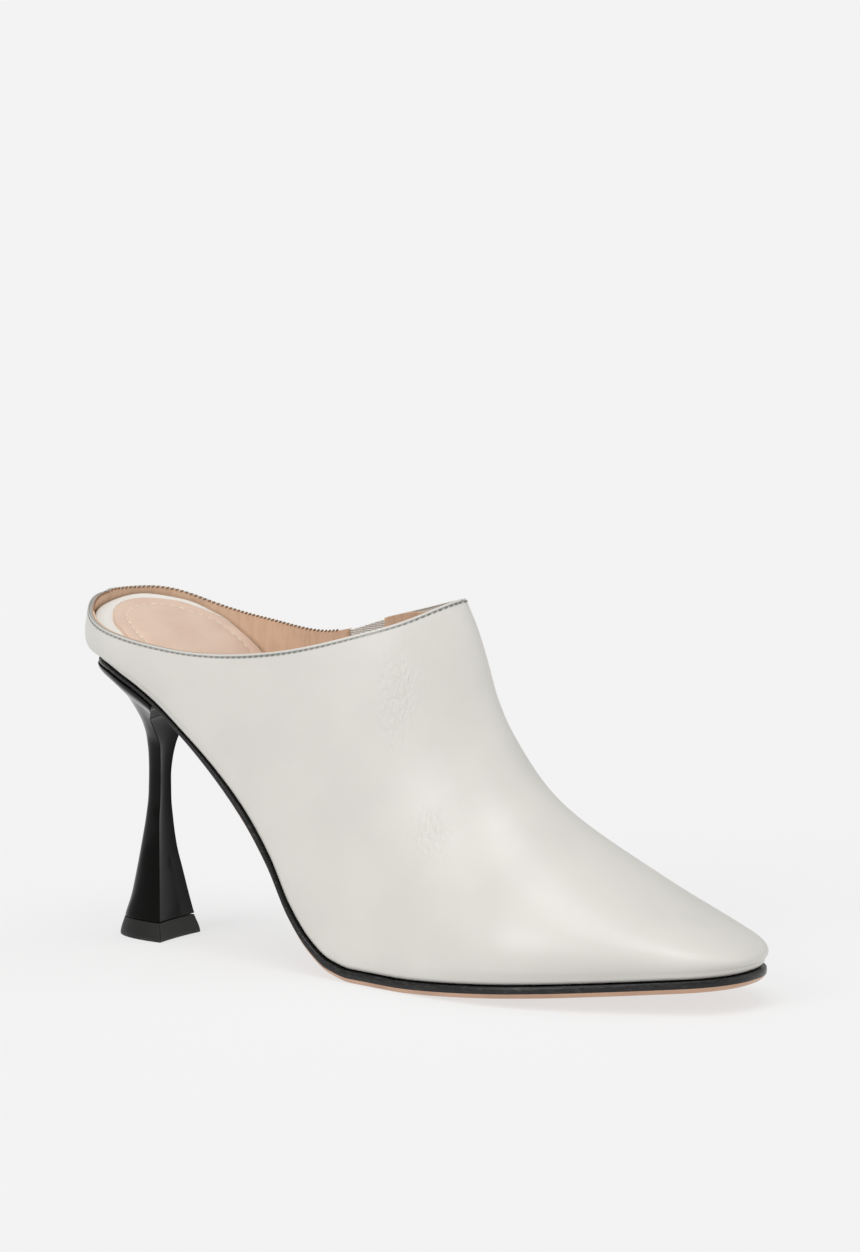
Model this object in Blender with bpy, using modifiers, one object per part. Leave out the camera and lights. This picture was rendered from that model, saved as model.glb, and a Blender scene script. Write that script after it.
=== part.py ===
"""Heeled mule, right shoe, empty and standing on its sole.

Metres. +X points to the toe, +Y to the medial (inner) side and +Z up. The origin is on the floor, in the
middle of the flat part of the tread. The upper, sole, insole, sock and heel are all worked out from one
last: a bottom surface, a plan outline (the feather edge) and a ridge line along the top of the foot.
"""

from collections import namedtuple

import bmesh
import bpy
import numpy as np

# Driving sizes
LENGTH = 0.2260
BALL_WIDTH = 0.0765
SEAT_HEIGHT = 0.0865
INSTEP_RISE = 0.0875
QUARTER_HEIGHT = 0.0180
TOE_SPRING = 0.0077
SOLE_THICKNESS = 0.0036
UPPER_WALL = 0.0018
INSOLE_THICKNESS = 0.0020
SEAT_FILL = 0.0105
SOCK_THICKNESS = 0.0016
SOCK_BORDER = 0.0052
SOLE_EDGE = 0.0005
SOLE_BEVEL = 0.0015
FEATHER_ROUND = 0.0020
LASTING_MARGIN = 0.0045
SWELL = 0.0055
ARCH_LIFT = 0.0020
HEEL_TIP_THICKNESS = 0.0060
HEEL_SEAT_LENGTH = 0.0310
BREAST_HOLLOW = 0.0006
GUSSET_WIDTH = 0.0160
GUSSET_DEPTH = 0.0260
GUSSET_WALL = 0.0010
GUSSET_FOOT = 0.0110
GUSSET_PLACE = 0.0454
HEEL_EDGE = 0.0002
FIT_GAP = 0.0003

# Places along the last, as shares of LENGTH from the heel back
TREAD_START = 0.475
TREAD_END = 0.55
TREAD_BLEND = 0.10
VAMP_STATION = 0.35
VAMP_FOOT = 0.42
HEEL_CURVE_END = 0.11
TOE_CURVE_START = 0.94
TOE_CURVE_POWER = 2.5
SOCK_END = 0.425
SOCK_ROUND_START = 0.34
HEEL_BACK_POWER = 2.2
HEEL_BLEND_START = 0.6
TREAD_X = LENGTH * (TREAD_START + TREAD_END) / 2

# The feather edge in plan: half widths as shares of BALL_WIDTH, before the ends are rounded
Outline = namedtuple("Outline", "station lateral medial")
OUTLINE = (
    Outline(0.00, 0.315, 0.315),
    Outline(0.10, 0.325, 0.322),
    Outline(0.20, 0.334, 0.316),
    Outline(0.31, 0.350, 0.305),
    Outline(0.43, 0.395, 0.325),
    Outline(0.53, 0.455, 0.400),
    Outline(0.63, 0.503, 0.468),
    Outline(0.72, 0.500, 0.492),
    Outline(0.80, 0.440, 0.470),
    Outline(0.88, 0.345, 0.390),
    Outline(0.94, 0.264, 0.300),
    Outline(1.00, 0.186, 0.208),
)

# The bottom of the last: how far it climbs from the tread to the seat, as a share of the seat's rise, and
# the sole's upright thickness there as a share of SOLE_THICKNESS
Bottom = namedtuple("Bottom", "station climb sole")
BOTTOM = (
    Bottom(0.000, 1.000, 0.30),
    Bottom(0.050, 0.990, 0.30),
    Bottom(0.090, 0.955, 0.30),
    Bottom(0.135, 0.887, 0.30),
    Bottom(0.187, 0.778, 0.34),
    Bottom(0.240, 0.655, 0.60),
    Bottom(0.290, 0.514, 0.92),
    Bottom(0.330, 0.364, 1.02),
    Bottom(0.365, 0.194, 1.02),
    Bottom(0.400, 0.082, 1.00),
    Bottom(0.435, 0.021, 1.00),
    Bottom(TREAD_START, 0.000, 1.00),
)

# The ridge over the foot, against the feather at each station: how far forward as a share of LENGTH and
# how high as a share of INSTEP_RISE
Ridge = namedtuple("Ridge", "station forward height")
RIDGE = (
    Ridge(0.00, 0.030, 0.600),
    Ridge(0.10, 0.075, 0.670),
    Ridge(0.20, 0.120, 0.815),
    Ridge(0.28, 0.170, 0.950),
    Ridge(0.35, 0.203, 1.000),
    Ridge(0.43, 0.169, 0.915),
    Ridge(0.53, 0.120, 0.700),
    Ridge(0.63, 0.080, 0.530),
    Ridge(0.73, 0.055, 0.388),
    Ridge(0.83, 0.030, 0.258),
    Ridge(0.93, 0.005, 0.155),
    Ridge(1.00, -0.018, 0.092),
)

# Cross-sections: superellipse power, and the outward swell with the share of height where it is widest
Section = namedtuple("Section", "station power swell peak")
SECTIONS = (
    Section(0.00, 2.4, 1.00, 0.18),
    Section(0.10, 2.4, 0.55, 0.20),
    Section(0.25, 2.2, 0.16, 0.25),
    Section(0.40, 2.0, 0.08, 0.25),
    Section(0.60, 2.0, 0.16, 0.25),
    Section(0.80, 2.2, 0.25, 0.35),
    Section(0.92, 2.4, 0.33, 0.45),
    Section(1.00, 2.4, 0.40, 0.45),
)

# The topline, above a line from the seat to the vamp point, as shares of QUARTER_HEIGHT; the stations run
# from the heel back to the vamp point
Topline = namedtuple("Topline", "station lateral medial")
TOPLINE = (
    Topline(-0.03, 1.04, 1.04),
    Topline(0.00, 0.90, 1.04),
    Topline(0.04, 0.76, 1.02),
    Topline(0.15, 0.54, 0.75),
    Topline(0.36, 0.20, 0.36),
    Topline(0.54, 0.03, 0.09),
    Topline(0.66, -0.03, 0.14),
    Topline(0.82, -0.06, 0.12),
    Topline(0.92, -0.07, 0.07),
    Topline(1.00, 0.00, 0.00),
)

# The insole's cushion: its depth as a share of SEAT_FILL, the slope with which the insole climbs to the
# medial side, as the collar does, and the border outside the sock as a share of SOCK_BORDER
Footbed = namedtuple("Footbed", "station fill tilt border")
FOOTBED = (
    Footbed(0.000, 1.000, 0.160, 1.00),
    Footbed(0.040, 0.840, 0.130, 1.00),
    Footbed(0.080, 0.693, 0.100, 0.75),
    Footbed(0.120, 0.634, 0.087, 0.46),
    Footbed(0.180, 0.619, 0.072, 0.42),
    Footbed(0.240, 0.457, 0.040, 0.42),
    Footbed(0.290, 0.276, 0.020, 0.42),
    Footbed(0.340, 0.090, 0.000, 0.42),
    Footbed(0.400, 0.050, 0.000, 0.42),
    Footbed(0.475, 0.000, 0.000, 0.42),
)

# The heel from the floor (first row) through the top of its tip (0) to the seat (1): the breast's place
# and the depth as shares of HEEL_SEAT_LENGTH, and the width as a share of the seat's width
Heel = namedtuple("Heel", "station breast depth width")
HEEL = (
    Heel(-0.082, 0.826, 0.658, 0.438),
    Heel(0.000, 0.784, 0.568, 0.380),
    Heel(0.080, 0.752, 0.468, 0.326),
    Heel(0.185, 0.713, 0.374, 0.260),
    Heel(0.292, 0.674, 0.287, 0.194),
    Heel(0.400, 0.652, 0.219, 0.155),
    Heel(0.487, 0.645, 0.190, 0.128),
    Heel(0.575, 0.645, 0.187, 0.122),
    Heel(0.648, 0.655, 0.200, 0.140),
    Heel(0.707, 0.671, 0.229, 0.178),
    Heel(0.775, 0.687, 0.256, 0.310),
    Heel(0.837, 0.729, 0.332, 0.485),
    Heel(0.905, 0.852, 0.539, 0.717),
    Heel(1.000, 1.000, 1.000, 1.000),
)


def column(table, name):
    """Return one named column of a table."""
    return np.array([getattr(row, name) for row in table])


def spline(table, name):
    """Return the natural cubic spline through one column of a table, as a function of the station."""
    at, value = column(table, "station"), column(table, name)
    step = np.diff(at)
    matrix, rhs = np.eye(len(at)), np.zeros(len(at))
    for row in range(1, len(at) - 1):
        matrix[row, row - 1 : row + 2] = step[row - 1], 2 * (step[row - 1] + step[row]), step[row]
        rhs[row] = 6 * ((value[row + 1] - value[row]) / step[row] - (value[row] - value[row - 1]) / step[row - 1])
    bend = np.linalg.solve(matrix, rhs)

    def evaluate(station):
        station = np.clip(np.asarray(station, float), at[0], at[-1])
        span = np.clip(np.searchsorted(at, station) - 1, 0, len(at) - 2)
        ahead, behind, width = at[span + 1] - station, station - at[span], step[span]
        cubic = (bend[span] * ahead**3 + bend[span + 1] * behind**3) / (6 * width)
        left = (value[span] / width - bend[span] * width / 6) * ahead
        right = (value[span + 1] / width - bend[span + 1] * width / 6) * behind
        return cubic + left + right

    return evaluate


def monotone(table, name):
    """Return the cubic through one column that never overshoots its rows, as a function of the station."""
    at, value = column(table, "station"), column(table, name)
    step = np.diff(at)
    slope = np.diff(value) / step
    tangent = np.zeros(len(at))
    for row in range(1, len(at) - 1):
        if slope[row - 1] * slope[row] > 0:
            before, after = 2 * step[row] + step[row - 1], step[row] + 2 * step[row - 1]
            tangent[row] = (before + after) / (before / slope[row - 1] + after / slope[row])

    def evaluate(station):
        station = np.clip(np.asarray(station, float), at[0], at[-1])
        span = np.clip(np.searchsorted(at, station) - 1, 0, len(at) - 2)
        u = (station - at[span]) / step[span]
        start = (2 * u**3 - 3 * u**2 + 1) * value[span] + (u**3 - 2 * u**2 + u) * step[span] * tangent[span]
        end = (3 * u**2 - 2 * u**3) * value[span + 1] + (u**3 - u**2) * step[span] * tangent[span + 1]
        return start + end

    return evaluate


outline_lateral = spline(OUTLINE, "lateral")
outline_medial = spline(OUTLINE, "medial")
climb_at = monotone(BOTTOM, "climb")
sole_share = monotone(BOTTOM, "sole")
ridge_forward = spline(RIDGE, "forward")
ridge_height = spline(RIDGE, "height")
section_power = spline(SECTIONS, "power")
section_swell = spline(SECTIONS, "swell")
section_peak = spline(SECTIONS, "peak")
heel_breast = monotone(HEEL, "breast")
footbed_fill = monotone(FOOTBED, "fill")
footbed_tilt = monotone(FOOTBED, "tilt")
footbed_border = monotone(FOOTBED, "border")
heel_depth = monotone(HEEL, "depth")
heel_width = monotone(HEEL, "width")
topline_lateral = spline(TOPLINE, "lateral")
topline_medial = spline(TOPLINE, "medial")

# The last

def end_opening(station):
    """Return how open the outline is at a station: a circle at the heel and a soft square at the toe."""
    heel = np.clip(1 - station / HEEL_CURVE_END, 0, 1)
    toe = np.clip((station - TOE_CURVE_START) / (1 - TOE_CURVE_START), 0, 1)
    return np.sqrt(1 - heel**2) * (1 - toe**TOE_CURVE_POWER) ** (1 / TOE_CURVE_POWER)


def half_width(station, side):
    """Return the feather edge's distance from the middle plane; side is 1 for medial and -1 for lateral."""
    width = np.where(side > 0, outline_medial(station), outline_lateral(station))
    return BALL_WIDTH * width * end_opening(station)


def plan_normal(station, side):
    """Return the outward direction of the feather edge in plan, as x and y."""
    step = 1e-5
    before, after = np.clip(station - step, 0, 1), np.clip(station + step, 0, 1)
    growth = (half_width(after, side) - half_width(before, side)) / (after - before)
    size = np.hypot(growth, LENGTH)
    return -growth / size, side * LENGTH / size


def bottom_height(x, y):
    """Return the height of the last's bottom surface: seat, arch, flat tread and toe spring."""
    station = np.clip((x + TREAD_X) / LENGTH, 0, 1)
    level = SOLE_THICKNESS + FIT_GAP
    seat = (SEAT_HEIGHT - level) * climb_at(station)
    past = np.clip(station - TREAD_END, 0, 1) / (1 - TREAD_END)
    spring = TOE_SPRING * past**2 * (1 + TREAD_BLEND) / (past + TREAD_BLEND)
    along_arch = np.clip((station - 0.18) / (TREAD_START - 0.18), 0, 1)
    arch = ARCH_LIFT * np.sin(np.pi * along_arch) ** 2 * (np.clip(y, 0, 1) * 2 / BALL_WIDTH) ** 1.5
    return level + seat + spring + arch


def upright(x):
    """Return how much taller a thickness measured square to the bottom is when measured upright."""
    step = 0.0005
    slope = (bottom_height(x + step, 0) - bottom_height(x - step, 0)) / (2 * step)
    return np.sqrt(1 + slope**2)


def edge_point(station, side, offset, height):
    """Return a point beside the feather edge: offset outwards in plan, height square to the bottom."""
    normal_x, normal_y = plan_normal(station, side)
    x = LENGTH * station - TREAD_X + normal_x * offset
    y = side * half_width(station, side) + normal_y * offset
    return np.stack(np.broadcast_arrays(x, y, bottom_height(x, y) + height * upright(x)), -1)


def last_point(station, side, angle):
    """Return a point of the upper's outer face, on the section that leans from the feather to the ridge.

    The angle runs from 0 at the feather to a quarter turn at the ridge, round a superellipse.
    """
    power = section_power(station)
    reach = (np.abs(np.cos(angle)) ** power + np.sin(angle) ** power) ** (-1 / power)
    out, up = reach * np.cos(angle), np.clip(reach * np.sin(angle), 0, 1)
    foot = edge_point(station, side, 0, FEATHER_ROUND)
    ridge_x = foot[..., 0] + LENGTH * ridge_forward(station)
    ridge_z = bottom_height(foot[..., 0], 0) + INSTEP_RISE * ridge_height(station)
    swell = SWELL * section_swell(station) * np.sin(np.pi * up ** (np.log(0.5) / np.log(section_peak(station))))
    normal_x, normal_y = plan_normal(station, side)
    x = foot[..., 0] + (ridge_x - foot[..., 0]) * up + swell * normal_x
    y = foot[..., 1] * out + swell * normal_y
    z = foot[..., 2] + (ridge_z - foot[..., 2]) * up
    return np.stack(np.broadcast_arrays(x, y, z), -1)


VAMP_POINT = last_point(VAMP_STATION, 1, np.pi / 2)


def topline_height(x, side):
    """Return the height of the collar's edge above the floor at a place along the shoe."""
    along = (x + TREAD_X) / (VAMP_POINT[0] + TREAD_X)
    quarter = np.where(side > 0, topline_medial(along), topline_lateral(along))
    climb = (VAMP_POINT[2] - SEAT_HEIGHT) * np.clip(along, 0, 1) ** 2
    return SEAT_HEIGHT + climb + QUARTER_HEIGHT * quarter


def topline_angle(station, side):
    """Return the section angle at which the upper ends: at the collar, or at the ridge past the vamp point."""
    low, high = np.zeros(np.shape(station)), np.full(np.shape(station), np.pi / 2)
    for _ in range(40):
        middle = (low + high) / 2
        point = last_point(station, side, middle)
        above = point[..., 2] > topline_height(point[..., 0], side)
        low, high = np.where(above, low, middle), np.where(above, middle, high)
    return np.where(station < VAMP_STATION - 1e-9, high, np.pi / 2)


def footbed_height(x, y, thickness=0):
    """Return the height of the insole's top, or of what lies on it at a thickness over it."""
    station = (x + TREAD_X) / LENGTH
    board = UPPER_WALL + 1.5 * FIT_GAP + INSOLE_THICKNESS
    deep = board + SEAT_FILL * footbed_fill(station) + thickness
    return bottom_height(x, y) + deep * upright(x) + footbed_tilt(station) * y


def footbed_edge(stations, side, share, inset):
    """Return the insole's edge at a share of its height, an inset in plan inside the last's face."""
    low, high = np.zeros(len(stations)), np.full(len(stations), np.pi / 2)
    for _ in range(40):
        middle = (low + high) / 2
        point = last_point(stations, side, middle)
        above = point[:, 2] > footbed_height(point[:, 0], point[:, 1])
        low, high = np.where(above, low, middle), np.where(above, middle, high)
    edge = last_point(stations, side, high * share)
    normal_x, normal_y = plan_normal(stations, side)
    edge[:, 0] -= normal_x * inset
    edge[:, 1] -= normal_y * inset
    edge[(stations <= 0) | (stations >= 1), 1] = 0
    return edge


def stations_round():
    """Return low stations, high stations and sides once round: toe tip, lateral side, heel back, medial side.

    A column of the upper starts at its low station on the feather edge and ends at its high station. Along the
    collar the high ones crowd towards the vamp point, where its edge meets the ridge, and the low ones are even.
    """
    heel = HEEL_CURVE_END * (1 - np.cos(np.linspace(0, np.pi / 2, 7)))
    collar = np.linspace(HEEL_CURVE_END, VAMP_FOOT, 12)
    waist = np.linspace(VAMP_FOOT, TREAD_START, 4)
    forepart = np.linspace(TREAD_END, TOE_CURVE_START, 8)
    toe = TOE_CURVE_START + (1 - TOE_CURVE_START) * np.sin(np.linspace(0, np.pi / 2, 6))
    low = np.concatenate([heel, collar[1:], waist[1:], forepart, toe[1:]])
    crowded = VAMP_STATION - (VAMP_STATION - HEEL_CURVE_END) * np.linspace(1, 0, len(collar)) ** 1.8
    high = np.interp(low, [*collar, TOE_CURVE_START, 1], [*crowded, TOE_CURVE_START, 1])
    high[: len(heel)] = heel
    side = np.concatenate([-np.ones(len(low)), np.ones(len(low) - 2)])
    return np.append(low[::-1], low[1:-1]), np.append(high[::-1], high[1:-1]), side


# Meshes

def rounded_rows(count, power=1.0):
    """Return shares from 0 to 1, closer together at the start for a power over 1."""
    return (np.arange(count + 1) / count) ** power


def across(lateral, medial, steps, height):
    """Return a grid of points from the lateral edge to the medial edge, laid on a height function."""
    share = np.linspace(0, 1, steps + 1)[None, :, None]
    grid = lateral[:, None, :] * (1 - share) + medial[:, None, :] * share
    grid[..., 2] = height(grid[..., 0], grid[..., 1])
    return grid


def boundary(grid):
    """Return the closed ring of points round a grid."""
    return np.concatenate([grid[0, :-1], grid[:-1, -1], grid[-1, :0:-1], grid[:0:-1, 0]])


def quads(rows, columns, first=0, closed=False):
    """Return the quads of a grid whose points are numbered row by row."""
    index = first + np.arange(rows * columns).reshape(rows, columns)
    if closed:
        index = np.concatenate([index, index[:, :1]], 1)
    corners = index[:-1, :-1], index[:-1, 1:], index[1:, 1:], index[1:, :-1]
    return np.stack(corners, -1).reshape(-1, 4)


def mesh_from(name, points, faces, outward):
    """Make a mesh, joining the points that coincide; outward turns a closed solid's faces out."""
    shape = bmesh.new()
    verts = [shape.verts.new(point) for point in points]
    for face in faces:
        corners = [verts[corner] for corner in dict.fromkeys(face)]
        if len(corners) > 2:
            shape.faces.new(corners)
    bmesh.ops.remove_doubles(shape, verts=shape.verts, dist=1e-6)
    if outward:
        bmesh.ops.recalc_face_normals(shape, faces=shape.faces)
    mesh = bpy.data.meshes.new(name)
    shape.to_mesh(mesh)
    shape.free()
    mesh.shade_smooth()
    mesh.set_sharp_from_angle(angle=np.radians(40))
    return mesh


def solid_from(name, grids):
    """Make a closed solid from grids of like size, bottom to top; those between give only its sides."""
    rows, columns = grids[0].shape[:2]
    rings = [boundary(grid) for grid in grids]
    size = rows * columns
    points = np.concatenate([grids[0].reshape(-1, 3), grids[-1].reshape(-1, 3), *rings])
    faces = np.concatenate(
        [
            quads(rows, columns),
            quads(rows, columns, size),
            quads(len(rings), len(rings[0]), 2 * size, closed=True),
        ]
    )
    return mesh_from(name, points, faces.tolist(), True)


def last_grid(stations, offset, height, steps=8, close=None):
    """Return a grid over the bottom, its edge set off from the feather edge, at a height square to it."""
    close = np.ones(len(stations)) if close is None else close
    edges = []
    for side in (-1, 1):
        edge = edge_point(stations, side, offset, 0)
        edge[:, 1] *= np.where((stations <= 0) | (stations >= 1), 0, close)
        edges.append(edge)
    return across(*edges, steps, lambda x, y: bottom_height(x, y) + height(x))


# Pieces

def upper_rows(low, high, side, rows):
    """Return the upper's outer face from the lasting margin to the top, a row of points for each step."""
    level = FEATHER_ROUND
    turn = np.radians([90, 60, 30])
    offsets = np.concatenate([[-level - LASTING_MARGIN, -level - LASTING_MARGIN / 2], level * (np.cos(turn) - 1)])
    heights = np.concatenate([[0, 0], level * (1 - np.sin(turn))])
    under = [edge_point(low, side, offset, height) for offset, height in zip(offsets, heights)]
    top = topline_angle(high, side)
    wall = [last_point(low + (high - low) * share, side, top * share) for share in rounded_rows(rows, 1.15)]
    grid = np.stack(under + wall)
    grid[:, (low <= 0) | (low >= 1), 1] = 0
    return grid


def make_upper():
    """Loft the upper's outer face round the shoe and give it its wall."""
    low, high, side = stations_round()
    grid = upper_rows(low, high, side, 10)
    grid[-1, high >= VAMP_STATION - 1e-9, 1] = 0
    rows, columns = grid.shape[:2]
    faces = quads(rows, columns, closed=True)[:, ::-1]
    mesh = mesh_from("upper", grid.reshape(-1, 3), faces.tolist(), False)
    upper = add_part(mesh, LEATHER)
    add_wall(upper, UPPER_WALL, -1)
    cut(upper, gusset_prism("gusset_slit", 0), "DIFFERENCE")


def gusset_prism(name, clearance):
    """Make the block that cuts the gusset's slit, or with a clearance the gusset itself."""
    middle_x = VAMP_POINT[0] - GUSSET_PLACE
    top = VAMP_POINT[2]
    foot = topline_height(middle_x, 1) - GUSSET_DEPTH + clearance
    outline = [
        (middle_x - GUSSET_FOOT / 2 + clearance, foot),
        (middle_x + GUSSET_FOOT / 2 - clearance, foot),
        (middle_x + GUSSET_WIDTH / 2 - clearance, top),
        (middle_x - GUSSET_WIDTH / 2 + clearance, top),
    ]
    grid = [[(x, y, z) for x, z in outline] for y in (BALL_WIDTH / 8, BALL_WIDTH)]
    points = np.array(grid).reshape(-1, 3)
    faces = [(0, 1, 2, 3), (4, 5, 6, 7)] + [(n, (n + 1) % 4, (n + 1) % 4 + 4, n + 4) for n in range(4)]
    block = bpy.data.objects.new(name, mesh_from(name, points, faces, True))
    CUTTERS.objects.link(block)
    block.hide_render = True
    block.display_type = "WIRE"
    return block


def make_gusset():
    """Make the elastic panel from the same face as the upper, set in a little and cut to the slit."""
    station = np.linspace(0.12, VAMP_STATION - 0.02, 12)
    grid = np.stack(
        [last_point(station, np.ones(12), topline_angle(station, 1) * share) for share in np.linspace(0.35, 1, 12)]
    )
    mesh = mesh_from("elastic_gusset", grid.reshape(-1, 3), quads(12, 12)[:, ::-1].tolist(), False)
    gusset = add_part(mesh, ELASTIC)
    inset = (UPPER_WALL - GUSSET_WALL) / 2
    add_wall(gusset, GUSSET_WALL, -1 - 2 * inset / GUSSET_WALL)
    cut(gusset, gusset_prism("gusset_outline", FIT_GAP), "INTERSECT")


def make_outsole():
    """Make the sole: an upright edge, a bevel round the bottom, and a flat tread on the floor."""
    station = STATIONS

    def share(x):
        return sole_share((x + TREAD_X) / LENGTH)

    proud = SOLE_EDGE * (2 * sole_share(station) - 1)
    bevel = SOLE_BEVEL * sole_share(station) ** 2
    grids = [
        last_grid(station, proud - bevel, lambda x: -FIT_GAP - SOLE_THICKNESS * share(x)),
        last_grid(station, proud, lambda x: -FIT_GAP - (SOLE_THICKNESS - SOLE_BEVEL) * share(x)),
        last_grid(station, proud, lambda x: -FIT_GAP + 0 * x),
    ]
    add_part(solid_from("outsole", grids), SOLE_LEATHER)


def make_insole():
    """Make the insole: a board on the lasting margin whose cushion fills the heel between the upper's walls."""
    low = UPPER_WALL + 1.5 * FIT_GAP
    grids = []
    for share, gaps in ((0, 3), (0.35, 6), (0.7, 5), (1, 3)):

        def height(x, y, share=share):
            return (1 - share) * (bottom_height(x, y) + low * upright(x)) + share * footbed_height(x, y)

        edges = [footbed_edge(STATIONS, side, share, UPPER_WALL + gaps * FIT_GAP) for side in (-1, 1)]
        grids.append(across(*edges, 6, height))
    add_part(solid_from("insole", grids), INSOLE_BOARD)


def make_heel_sock():
    """Make the padded sock on the insole, from the heel back to the waist, with a round front."""
    station = STATIONS[STATIONS < SOCK_END + 1e-9]
    front = np.clip((station - SOCK_ROUND_START) / (SOCK_END - SOCK_ROUND_START), 0, 1)
    close = (1 - front**2.5) ** 0.4
    inset = UPPER_WALL + 3 * FIT_GAP + SOCK_BORDER * footbed_border(station)
    soft = SOCK_THICKNESS / 2
    grids = []
    for back, level in ((0, FIT_GAP), (0, FIT_GAP + soft), (soft, FIT_GAP + SOCK_THICKNESS)):
        edges = [footbed_edge(station, side, 1, inset + back) * [[1, share, 1] for share in close] for side in (-1, 1)]
        grids.append(across(*edges, 6, lambda x, y, level=level: footbed_height(x, y, level)))
    add_part(solid_from("heel_sock", grids), SOCK_LEATHER)


def heel_grid(station, height):
    """Return a grid over the heel's D-shaped section: a flat breast in front and a round back."""
    seat = HEEL_SEAT_LENGTH / LENGTH
    seat_station = np.append(STATIONS[STATIONS < seat - 0.002], seat)[::-1]
    turn = np.arccos(1 - seat_station / seat)
    breast = HEEL_SEAT_LENGTH * heel_breast(station) - TREAD_X
    seat_half = half_width(HEEL_SEAT_LENGTH / LENGTH, -1) + HEEL_EDGE
    reach = (np.cos(turn) ** HEEL_BACK_POWER + np.sin(turn) ** HEEL_BACK_POWER) ** (-1 / HEEL_BACK_POWER)
    blend = np.clip((station - HEEL_BLEND_START) / (1 - HEEL_BLEND_START), 0, 1) ** 2
    edges = []
    for side in (-1, 1):
        edge = edge_point(seat_station, side, HEEL_EDGE, 0)
        seat_back = (HEEL_SEAT_LENGTH - TREAD_X - edge[:, 0]) / HEEL_SEAT_LENGTH
        back = blend * seat_back + (1 - blend) * reach * np.cos(turn)
        out = blend * edge[:, 1] / seat_half + (1 - blend) * side * reach * np.sin(turn)
        x = breast - HEEL_SEAT_LENGTH * heel_depth(station) * back
        y = seat_half * heel_width(station) * np.where(turn > 0, out, 0)
        edges.append(np.stack([x, y, 0 * x], -1))
    grid = across(*edges, 6, height)
    hollow = 1 - np.linspace(-1, 1, 7) ** 2
    grid[0, :, 0] -= BREAST_HOLLOW * hollow
    grid[0, :, 2] = height(grid[0, :, 0], grid[0, :, 1])
    return grid


def make_heel():
    """Loft the heel from the top of its tip to the seat, whose curve its top follows."""

    def level(station):
        def height(x, y):
            under = bottom_height(x, y) - 2 * FIT_GAP - SOLE_THICKNESS * sole_share((x + TREAD_X) / LENGTH)
            return HEEL_TIP_THICKNESS + station * (under - HEEL_TIP_THICKNESS)

        return height

    stations = np.unique(np.concatenate([column(HEEL, "station")[1:], [0.96, 0.985]]))
    add_part(solid_from("heel", [heel_grid(station, level(station)) for station in stations]), HEEL_GLOSS)
    floor = column(HEEL, "station")[0]
    tip = [
        heel_grid(floor, lambda x, y: 0 * x),
        heel_grid(0, lambda x, y: 0 * x + HEEL_TIP_THICKNESS - FIT_GAP),
    ]
    add_part(solid_from("heel_tip", tip), TIP_RUBBER)


# Scene

def material(name, colour, roughness, metallic=0.0):
    """Make a plain Principled material."""
    made = bpy.data.materials.new(name)
    made.use_nodes = True
    shader = made.node_tree.nodes["Principled BSDF"]
    shader.inputs["Base Color"].default_value = (*colour, 1)
    shader.inputs["Roughness"].default_value = roughness
    shader.inputs["Metallic"].default_value = metallic
    return made


def add_part(mesh, finish):
    """Put a mesh in the shoe's collection with its material."""
    mesh.materials.append(finish)
    part = bpy.data.objects.new(mesh.name, mesh)
    SHOE.objects.link(part)
    return part


def add_wall(part, thickness, offset):
    """Give an open face its wall."""
    wall = part.modifiers.new("Wall", "SOLIDIFY")
    wall.thickness = thickness
    wall.offset = offset
    wall.use_even_offset = True
    wall.use_quality_normals = True


def cut(part, other, operation):
    """Cut one object with another."""
    boolean = part.modifiers.new("Cut", "BOOLEAN")
    boolean.object = other
    boolean.operation = operation
    boolean.solver = "EXACT"


def add_collection(name):
    """Add a collection to the scene."""
    added = bpy.data.collections.new(name)
    bpy.context.scene.collection.children.link(added)
    return added


for stale in list(bpy.data.objects):
    bpy.data.objects.remove(stale)

SHOE = add_collection("heeled_mule")
CUTTERS = add_collection("cutters")
LEATHER = material("upper_leather", (0.72, 0.69, 0.62), 0.45)
ELASTIC = material("gusset_elastic", (0.80, 0.78, 0.74), 0.8)
SOLE_LEATHER = material("sole_leather", (0.45, 0.28, 0.17), 0.5)
INSOLE_BOARD = material("insole_leather", (0.80, 0.78, 0.74), 0.5)
SOCK_LEATHER = material("sock_leather", (0.66, 0.46, 0.36), 0.6)
HEEL_GLOSS = material("heel_gloss", (0.012, 0.012, 0.012), 0.15)
TIP_RUBBER = material("tip_rubber", (0.02, 0.02, 0.02), 0.55)
STATIONS = np.unique(stations_round()[0])

make_upper()
make_gusset()
make_outsole()
make_insole()
make_heel_sock()
make_heel()
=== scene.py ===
"""The heeled mule's fine surfaces, finishes, studio and camera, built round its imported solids.

Metres, in the frame of the solids: +X to the toe, +Y to the medial side, +Z up, with the origin on the floor
in the middle of the tread. Every soft or curved piece is worked out again from the last, at a finer step.
"""

from __future__ import annotations

import logging
from dataclasses import dataclass, field
from functools import lru_cache
from typing import Callable, NamedTuple

import bmesh
import bpy
import numpy as np
from mathutils import Matrix, Vector

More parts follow.
